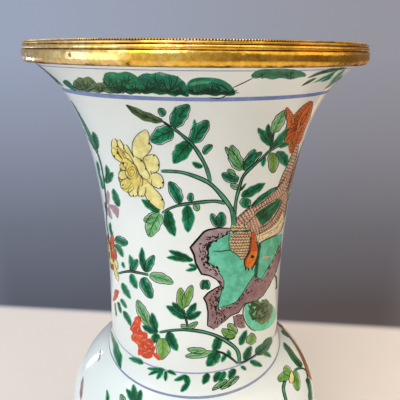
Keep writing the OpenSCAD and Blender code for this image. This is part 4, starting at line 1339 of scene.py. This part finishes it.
for top, bottom, tone in humps.values():
    addPatch("rimBorder", "greens", top, bottom, tone, (0.0, 0, 0.45, 0.0), 0, (0, 0), 26)
    if tone == "border":  # a darker wash along the foot
        a, b = (smoothPath(side, humpWash["steps"]) for side in (top, bottom))
        waves = np.linspace(0, humpWash["waves"], humpWash["steps"]) + rng.uniform(0, 6)
        crest = b + (a - b) * (humpWash["rise"] + humpWash["waver"] * np.sin(waves))[:, None]
        foot = b + (a - b) * humpWash["foot"]
        addStroke("rimBorder", "greens", crest, foot, "pine", (0, 0, 0.5, 0), 1)
paleStreak = dict(
    top=[(189, 84), (195, 81), (203, 80), (213, 81.5)],
    bottom=[(189.5, 86.5), (196, 85.2), (204, 84), (213, 83)])
addPatch("rimBorder", "greens", paleStreak["top"], paleStreak["bottom"], "stem", (0, 0, 0.2, 0), 1.6,
         (0, 0), 14)
# root x, root y, from and to in degrees, count, reach, width
fans = dict(
    spikyA=(86, 91, 20, 165, 10, 13, 1.1), spikyB=(78, 88, 30, 150, 5, 10, 1.0),
    leftA=(101, 92, 30, 150, 7, 9, 1.1), firstA=(121, 93, 8, 172, 11, 17, 1.5),
    firstB=(127, 83, 10, 170, 7, 9, 1.1), firstC=(109, 87, 20, 150, 6, 11, 1.2),
    firstD=(134, 92, 60, 165, 6, 12, 1.3), secondA=(156, 83, -40, 220, 11, 10, 1.3),
    secondB=(171, 92, 5, 180, 12, 17, 1.6), secondC=(146, 92, 30, 165, 7, 13, 1.4),
    secondD=(182, 94, 60, 175, 5, 12, 1.2), thirdA=(231, 92, 152, 192, 8, 25, 1.3),
    thirdB=(212, 94, 60, 160, 8, 15, 1.4), thirdC=(222, 90, 130, 200, 6, 12, 1.2),
    thirdD=(196, 95, 50, 150, 6, 12, 1.2), thirdE=(228, 93, -6, 42, 6, 11, 1.2),
    fourthA=(262, 78, 20, 160, 6, 8, 0.8), fourthB=(290, 78, 20, 160, 7, 8, 0.8))
for row in fans.values():
    addFan("rimBorder", *row)
rimTwig = [(232, 88), (243, 83), (254, 77.5)]
addInk("rimBorder", smoothPath(rimTwig, 10), 0.9)
print("stage: painting drawn,", len(strokes), "strokes")

# recoloured sprays: tone, and the one that takes its place
swapRed = {"gold": "rust", "primrose": "rust", "rust": "gold", "ochre": "scarlet", "straw": "orange"}
twoTone = {"gold": "rust", "ochre": "gold"}
# what each kind of spray takes up: groups of strokes, and its own anchor in picture points
sprayKinds = dict(
    scenery=(("yellowSpray", "yellowPeony", "rightSpray", "redRight", "rock", "bird"), (236, 262)),
    peonySpray=(("yellowSpray", "yellowPeony"), (190, 170)), peony=(("yellowPeony",), (137, 170)),
    leaves=(("midLeft", "centre"), (160, 280)), tuft=(("centre",), (185, 310)),
    rightLeaves=(("rightSpray",), (262, 160)), rightSpray=(("rightSpray", "redRight"), (262, 160)),
    redSpray=(("lowRed", "lowSpray"), (195, 338)), neckFoot=(("footBorder",), (195, 380)),
    rim=(("rimBorder", "bamboo"), (195, 88)))
# where sprays go: kind, angle in degrees, height in mm, size, mirrored or not, turn in degrees, recolour
sprays = [
    ("scenery", 196, 326, 1.0, True, 0, swapRed),
    ("peonySpray", 122, 386, 0.8, False, 0, swapRed),
    ("peony", 299.5, 315, 0.72, False, 0, twoTone),
    ("leaves", 122, 312, 1.0, False, 0, {}),
    ("rightLeaves", 151, 384, 0.85, False, 0, {}),
    ("rightLeaves", 272, 388, 0.8, True, 0, {}),
    ("tuft", 274, 324, 1.1, False, 0, {}),
    ("redSpray", 122, 272, 0.95, False, 0, swapRed),
    ("redSpray", 223, 272, 0.95, False, 0, {}),
    ("neckFoot", 112, 237.6, 1.0, False, 0, {}),
    ("neckFoot", 223, 237.6, 1.0, False, 0, {}),
    ("rim", 119, 434, 1.12, False, 0, {}),
    ("rim", 242, 434, 1.12, False, 0, {}),
    ("leaves", 184, 205, 0.8, True, 0, {}),
    ("leaves", 22, 196, 0.75, False, 0, {}),
    ("scenery", 172, 124, 0.85, True, 0, swapRed),
    ("peonySpray", 8, 138, 1.2, False, 12, {}),
    ("rightSpray", 58, 138, 1.2, False, 0, {}),
    ("redSpray", 118, 146, 1.2, False, 0, swapRed),
    ("leaves", 88, 104, 1.1, False, 0, {}),
    ("peonySpray", 238, 140, 1.2, True, -12, {}),
    ("leaves", 290, 140, 1.2, False, 0, {}),
    ("rightSpray", 336, 136, 1.2, True, 0, swapRed),
    ("tuft", 25, 84, 1.2, False, 0, {}),
    ("tuft", 318, 84, 1.2, False, 0, {}),
    ("tuft", 268, 84, 1.2, True, 0, {}),
    ("tuft", 128, 84, 1.2, True, 0, {}),
]

keepClear = dict(foot=4, lip=3)  # mm of the outline that sprays stay off


# a margin moved as the front shows it: its offsets in mm, r (sin a - sin anchor) across, are mirrored,
# turned, scaled and laid down again
def moveMargin(margin, anchor, spray):
    _, angle, height, size, mirrored, turn, _ = spray
    girth = girthAt(margin[:, 1])
    a = (np.sin(margin[:, 0]) - math.sin(anchor[0])) * girth * size * (-1 if mirrored else 1)
    b = (margin[:, 1] - anchor[1]) * size
    t = math.radians(turn)
    a, b = a * math.cos(t) - b * math.sin(t), a * math.sin(t) + b * math.cos(t)
    length = np.clip(lengthAt(height) + b, keepClear["foot"], glazeLength[-1] - keepClear["lip"])
    return np.stack([math.radians(angle) + a / girthAt(length), length], 1)


# the red flower's petals are the peony's, recoloured and laid over its washes
petalTones = {"gold": "scarlet", "primrose": "scarlet", "ochre": "rust", "straw": "flame"}
redPetals = ("peony", 47.5, 410.5, 0.58, False, 0, petalTones)
flowerGroups, flowerSpot = sprayKinds[redPetals[0]]
flowerAnchor = castGlaze([flowerSpot])[0]
lineBolder = 1.7  # the petals' lines are widened again after they shrink
for stroke in [kept for kept in strokes if kept["group"] in flowerGroups]:
    piece = "red" if stroke["piece"] == "yellow" else stroke["piece"]
    a, b = (moveMargin(stroke[side], flowerAnchor, redPetals) for side in "ab")
    if stroke["thin"]:
        a, b = (a + b) / 2 + (a - b) / 2 * lineBolder, (a + b) / 2 + (b - a) / 2 * lineBolder
    tone = petalTones.get(stroke["tone"], stroke["tone"])
    keepStroke("redRight", piece, a, b, tone, stroke["marks"], stroke["layer"], stroke["thin"])

sheets = {}
# mm under and over the glaze, girth and width of a lane; fewest and most lanes; crisp edges in degrees
relief = dict(sink=0.05, proud=0.09, step=0.018, girth=75, laneStep=2.6, lanes=(5, 15), crisp=50)


# the lists that hold one piece's strokes, empty at first
def sheetFor(piece):
    empty = dict(points=[], quads=[], tris=[np.zeros((0, 3), int)], uv=[], scaleUv=[], tone=[], marks=[],
                 used=0)
    return sheets.setdefault(piece, empty)


# one stroke's share goes behind what a sheet holds
def addToSheet(sheet, **share):
    for key, value in share.items():
        sheet[key].append(value)
    sheet["used"] += len(share["points"])


# one stroke as a closed lens: across it a flat dome over the glaze, 1 - (2v - 1)^6, under it one line
# below the glaze, ends drawn to points
def layStroke(stroke, a, b, tone):
    count = len(a)
    reach = np.hypot((a[:, 0] - b[:, 0]) * relief["girth"], a[:, 1] - b[:, 1]).max()
    if stroke["thin"]:
        lanes = 4
        v = np.array([0, 0.12, 0.88, 1])
        dome = np.array([0, 1, 1, 0])
    else:
        lanes = int(np.clip(reach / relief["laneStep"] + 4, *relief["lanes"]))
        v = (1 - np.cos(np.linspace(0, math.pi, lanes))) / 2
        dome = 1 - (2 * v - 1) ** 6
    proud = relief["proud"] + relief["step"] * stroke["layer"]
    height = -relief["sink"] + (proud + relief["sink"]) * dome
    if not stroke["thin"]:
        v = np.append(v, 0.5)
        height = np.append(height, -3 * relief["sink"])
    rows = slice(1, count - 1)
    angle = a[rows, :1] + (b[rows, :1] - a[rows, :1]) * v
    length = a[rows, 1:] + (b[rows, 1:] - a[rows, 1:]) * v
    body = glazePoint(angle, length, np.broadcast_to(height, angle.shape))
    ends = (a[[0, -1]] + b[[0, -1]]) / 2
    tips = glazePoint(ends[:, 0], ends[:, 1], np.full(2, -relief["sink"]))
    around = len(v)
    inner = count - 2
    sheet = sheetFor(stroke["piece"])
    start = sheet["used"]
    quads = gridFaces(inner, around, False, start)
    j = np.arange(around)
    k = (j + 1) % around
    last = start + (inner - 1) * around
    tip = np.full(around, start + inner * around)
    tris = np.concatenate([np.stack([tip, start + k, start + j], 1),
                           np.stack([tip + 1, last + j, last + k], 1)])
    # outward is the way the middle of the dome faces
    m = inner // 2
    c = lanes // 2
    facing = np.cross(body[m, c] - body[m, c - 1], body[min(m + 1, inner - 1), c] - body[max(m - 1, 0), c])
    if facing @ (body[m, c] * [1, 1, 0]) < 0:
        quads, tris = quads[:, ::-1], tris[:, ::-1]
    u = np.linspace(0, 1, count)
    uv = np.stack(np.broadcast_arrays(u[rows, None], v[None, :]), -1).reshape(-1, 2)
    # place along and across the stroke, counted in scales
    middle = (a + b) / 2
    girth = girthAt(middle[:, 1])
    stretch = np.hypot(np.diff(middle[:, 0]) * girth[1:], np.diff(middle[:, 1]))
    run = np.append(0, np.cumsum(stretch)) / enamelLook["scaleSize"]
    wide = glazeWidth(a, b) / enamelLook["scaleSize"]
    inScales = np.broadcast_arrays(run[rows, None], wide[rows, None] * (v - 0.5))
    scaleUv = np.stack(inScales, -1).reshape(-1, 2)
    total = inner * around + 2
    addToSheet(
        sheet, points=np.concatenate([body.reshape(-1, 3), tips]), quads=quads, tris=tris,
        uv=np.concatenate([uv, [[0, 0.5], [1, 0.5]]]),
        scaleUv=np.concatenate([scaleUv, [[run[0], 0], [run[-1], 0]]]),
        tone=np.tile([*linearTone(*tone), 1], (total, 1)), marks=np.tile(stroke["marks"], (total, 1)))


# how far tones stray: share in flat washes, share elsewhere, levels per channel for a share of 1, limits
stray = dict(flat=("gold", "primrose", "ochre", "ink"), least=0.015, most=0.06, channel=40, limits=(4, 252))


# a stroke's own tone: its named one, lighter or darker by up to spread, with each channel moved a little
def strokeTone(stroke, recolour):
    tone = np.array(tones[recolour.get(stroke["tone"], stroke["tone"])], float)
    spread = stray["least" if stroke["tone"] in stray["flat"] else "most"]
    tone = tone * rng.uniform(1 - spread, 1 + spread) + rng.normal(0, spread * stray["channel"], 3)
    return np.clip(tone, *stray["limits"])


for stroke in strokes:
    layStroke(stroke, stroke["a"], stroke["b"], strokeTone(stroke, {}))
for spray in sprays:
    groups, spot = sprayKinds[spray[0]]
    anchor = castGlaze([spot])[0]
    for stroke in strokes:
        if stroke["group"] in groups:
            a, b = (moveMargin(stroke[side], anchor, spray) for side in "ab")
            layStroke(stroke, a, b, strokeTone(stroke, spray[-1]))

# painted rings: height in mm, width in mm, tone
rings = dict(
    rimFine=(442.0, 1.1, "paleBlue"), rimBroad=(428.4, 3.6, "blue"), neckFoot=(243.2, 1.9, "paleBlue"),
    shoulder=(225.5, 2.2, "slate"), ankleUpper=(58, 1.2, "blue"), ankleLower=(52, 0.8, "paleBlue"),
    foot=(12, 1.4, "blue"))
# across a ring from edge to edge and back under it: share of the width, height over the glaze in mm
ringLens = dict(across=[0, 0.2, 0.5, 0.8, 1, 0.5], over=[-0.05, 0.02, 0.04, 0.02, -0.05, -0.12])
ringBrush = dict(turns=360, waves=(2, 5, 9, 14), drift=0.12, swell=0.18, thinTone=(226, 228, 230),
                 thinnest=0.72)


# a ring: a lens carried right round, its width, place and strength wavering as a sum of sines
def layRing(height, width, tone):
    turns = ringBrush["turns"]
    v = np.array(ringLens["across"])
    around = len(v)
    angle = np.linspace(0, 2 * math.pi, turns, endpoint=False)[:, None]
    waver = sum(np.sin(angle * k + rng.uniform(0, 6)) / k for k in ringBrush["waves"])
    middle = lengthAt(height) + ringBrush["drift"] * waver
    length = middle + (v - 0.5) * width * (1 + ringBrush["swell"] * waver[::-1])
    body = glazePoint(angle + 0 * length, length, np.array(ringLens["over"]) + 0 * length)
    sheet = sheetFor("rings")
    quads = gridFaces(turns, around, True, sheet["used"])
    facing = np.cross(body[0, 2] - body[0, 1], body[1, 2] - body[0, 2])
    if facing @ (body[0, 2] * [1, 1, 0]) < 0:
        quads = quads[:, ::-1]
    strength = ringBrush["thinnest"] + (1 - ringBrush["thinnest"]) * np.clip(0.5 + 0.4 * waver, 0, 1)
    shade = linearTone(*tones[tone]) * strength + linearTone(*ringBrush["thinTone"]) * (1 - strength)
    addToSheet(
        sheet, points=body.reshape(-1, 3), quads=quads, scaleUv=np.zeros((turns * around, 2)),
        uv=np.stack(np.broadcast_arrays(angle / (2 * math.pi), v[None, :]), -1).reshape(-1, 2),
        tone=np.repeat(np.concatenate([shade, np.ones((turns, 1))], 1), around, 0),
        marks=np.zeros((turns * around, 4)))


for row in rings.values():
    layRing(*row)
for label, sheet in sheets.items():
    points, quads, tris = (np.concatenate(sheet[key]) for key in ("points", "quads", "tris"))
    mesh, corners = buildMesh("enamel_" + label, points, quads, tris)
    for mapName, key in (("strokeMap", "uv"), ("scaleMap", "scaleUv")):
        layer = mesh.uv_layers.new(name=mapName)
        layer.data.foreach_set("uv", np.concatenate(sheet[key])[corners].astype(np.float32).ravel())
    for key in ("tone", "marks"):
        attribute = mesh.attributes.new(key, "FLOAT_COLOR", "POINT")
        attribute.data.foreach_set("color", np.concatenate(sheet[key]).astype(np.float32).ravel())
    mesh.set_sharp_from_angle(angle=math.radians(relief["crisp"]))
    addPiece("enamel_" + label, mesh, enamel)
    print("stage: enamel", label, len(mesh.loops) - 2 * len(mesh.polygons), "triangles")

# light of the room: its strength and tone, and the tones of its walls
light = dict(
    ambient=0.22, ambientTone=(0.97, 1.0, 1.03), backLeft=(156, 166, 187), backRight=(150, 149, 157),
    frontLeft=(232, 234, 236), frontRight=(128, 118, 108), right=(116, 104, 94))


# tone of the walls by the way one looks, blended smoothly by x and y: cool on the left, grey behind,
# light behind the camera's left shoulder
def wallTone(tree, x, y):
    back = mixTone(tree, smoothMask(tree, x, -0.5, 0.5), tone4(*light["backLeft"]),
                   tone4(*light["backRight"]))
    front = mixTone(tree, smoothMask(tree, x, -0.7, 0.8), tone4(*light["frontLeft"]),
                    tone4(*light["frontRight"]))
    around = mixTone(tree, smoothMask(tree, y, 0.7, -0.6), back, front)
    return mixTone(tree, smoothMask(tree, x, 0.5, 0.95), around, tone4(*light["right"]))


# floor: a pale table top with painted warm light towards its right, up to a straight edge behind the vase,
# then the grey room; lengths in m
tableTop = dict(
    radius=40, sides=96, depth=0.3208, slant=0.072, softness=0.011, fadeFrom=0.7, fadeTo=3.0, rough=0.55,
    tone=(248, 238, 232), warm=(255, 242, 230), grain=(196, 186, 180), grainScale=18.0, grainDepth=0.12,
    eyeHeight=0.45, eyeBack=0.285, nearest=0.05)
# greys of the room by fall below the horizon (the eye's height over the distance), left and right
roomLeft = [(0.0, (156, 166, 187)), (0.2, (140, 147, 166)), (0.45, (111, 116, 131)), (0.7, (90, 93, 106))]
roomRight = [(0.0, (150, 149, 157)), (0.2, (137, 135, 141)), (0.45, (109, 106, 111)), (0.7, (89, 80, 79))]


# 1 where the camera or a reflection looks, 0 for the light that falls on things
def rayMask(tree):
    path = addNode(tree, "ShaderNodeLightPath").outputs
    bounced = larger(tree, path["Is Glossy Ray"], path["Is Transmission Ray"])
    return larger(tree, path["Is Camera Ray"], bounced)


# a round floor: table where y + slant x is under its depth, beyond it room tones by x and y over distance
def floorPiece(look):
    sides = look["sides"]
    angles = np.linspace(0, 2 * math.pi, sides, endpoint=False)
    rim = np.stack([np.cos(angles), np.sin(angles), 0 * angles], 1) * (look["radius"] / mm)
    j = np.arange(sides)
    fan = np.stack([np.full(sides, sides), j, (j + 1) % sides], 1)
    mesh, _ = buildMesh("floor", np.concatenate([rim, [[0, 0, 0]]]), np.zeros((0, 4), int), fan)
    material, tree, shader = newMaterial("floor")
    x, y, _ = splitPlace(tree, objectPlace(tree))
    edge = plus(tree, y, times(tree, x, look["slant"]))
    beyond = smoothMask(tree, edge, look["depth"] - look["softness"], look["depth"] + look["softness"])
    grain = times(tree, noiseAt(tree, objectPlace(tree), look["grainScale"], 4.0), look["grainDepth"])
    # painted warm light: the table top turns warmer towards the right, where the warm lamp falls
    pale = mixTone(tree, smoothMask(tree, x, -0.3, 0.35), tone4(*look["tone"]), tone4(*look["warm"]))
    pale = mixTone(tree, grain, pale, tone4(*look["grain"]))
    feed(tree, shader, tone=pale, rough=look["rough"])
    away = larger(tree, plus(tree, y, look["eyeBack"]), look["nearest"])
    fall = calc(tree, "DIVIDE", look["eyeHeight"], away)
    sideways = smoothMask(tree, calc(tree, "DIVIDE", x, away), -0.5, 0.5)
    room = mixTone(tree, sideways, toneRamp(tree, fall, roomLeft), toneRamp(tree, fall, roomRight))
    reach = fromMiddle(tree, x, y)
    wall = wallTone(tree, calc(tree, "DIVIDE", x, reach), calc(tree, "DIVIDE", y, reach))
    ahead = smoothMask(tree, calc(tree, "DIVIDE", calc(tree, "ABSOLUTE", x), away), 0.8, 0.52)
    room = mixTone(tree, times(tree, beyond, ahead), wall, room)
    beyond = larger(tree, beyond, smoothMask(tree, reach, look["fadeFrom"], look["fadeTo"]))
    glow = addNode(tree, "ShaderNodeEmission", {0: room, 1: 1.0})
    dull = addNode(tree, "ShaderNodeBsdfDiffuse", {0: room})
    far = addNode(tree, "ShaderNodeMixShader", {0: rayMask(tree), 1: dull.outputs[0], 2: glow.outputs[0]})
    joined = addNode(tree, "ShaderNodeMixShader", {0: beyond, 1: shader.outputs[0], 2: far.outputs[0]})
    output = next(n for n in tree.nodes if n.type == "OUTPUT_MATERIAL")
    tree.links.new(joined.outputs[0], output.inputs[0])
    floor = bpy.data.objects.new("floor", mesh)
    scene.collection.objects.link(floor)
    mesh.materials.append(material)


floorPiece(tableTop)

# room light: grey where the camera or a reflection looks, plain white for the rest
world = bpy.data.worlds.new("room")
scene.world = world
world.use_nodes = True
tree = world.node_tree
tree.nodes.clear()
way = splitPlace(tree, addNode(tree, "ShaderNodeTexCoord").outputs["Generated"])
seenWall = addNode(tree, "ShaderNodeBackground", {0: wallTone(tree, way[0], way[1]), 1: 1.0})
fill = addNode(tree, "ShaderNodeBackground", {0: (*light["ambientTone"], 1.0), 1: light["ambient"]})
worldMix = addNode(tree, "ShaderNodeMixShader",
                   {0: rayMask(tree), 1: fill.outputs[0], 2: seenWall.outputs[0]})
tree.links.new(worldMix.outputs[0], addNode(tree, "ShaderNodeOutputWorld").inputs[0])

# lamps: place in m, width and height in m, power in watts, tone
lamps = dict(
    window=((-0.55, -0.85, 1.5), 0.8, 0.9, 13.6, (0.9, 0.93, 0.95)),
    sideWindow=((-1.3, -0.8, 0.5), 0.9, 0.8, 5.2, (0.7, 0.86, 1.0)),
    backWindow=((-1.1, 0.75, 0.19), 0.07, 0.26, 1.0, (0.92, 0.96, 1.0)),
    ceiling=((0.05, -0.3, 1.75), 1.3, 1.3, 10.2, (1.0, 0.98, 0.95)),
    roomLamp=((1.1, -0.35, 1.2), 1.7, 1.3, 9.9, (1.0, 0.8, 0.57)),
    sideGlow=((0.95, 0.95, 0.15), 0.4, 0.3, 0.5, (1.0, 0.48, 0.15)))
lampTarget = Vector((0, 0, 0.25))
for label, (place, width, height, power, tone) in lamps.items():
    data = bpy.data.lights.new(label, "AREA")
    data.shape = "RECTANGLE"
    data.size = width
    data.size_y = height
    data.energy = power
    data.color = tone
    lamp = bpy.data.objects.new(label, data)
    aim = (lampTarget - Vector(place)).to_track_quat("-Z", "Y")
    lamp.matrix_world = Matrix.Translation(place) @ aim.to_matrix().to_4x4()
    scene.collection.objects.link(lamp)

camera = bpy.data.objects.new("camera", bpy.data.cameras.new("camera"))
camera.data.sensor_width = shot["sensor"]
camera.data.lens = shot["focal"] / (2 * shot["middle"]) * shot["sensor"]
camera.data.clip_start = 0.01
camera.data.clip_end = 100
pitchTurn = Matrix.Rotation(math.radians(90 - shot["pitch"]), 4, "X")
rollTurn = Matrix.Rotation(math.radians(shot["roll"]), 4, "Z")
camera.matrix_world = Matrix.Translation([c * mm for c in shot["place"]]) @ pitchTurn @ rollTurn
scene.collection.objects.link(camera)
scene.camera = camera
print("stage: light and camera placed")
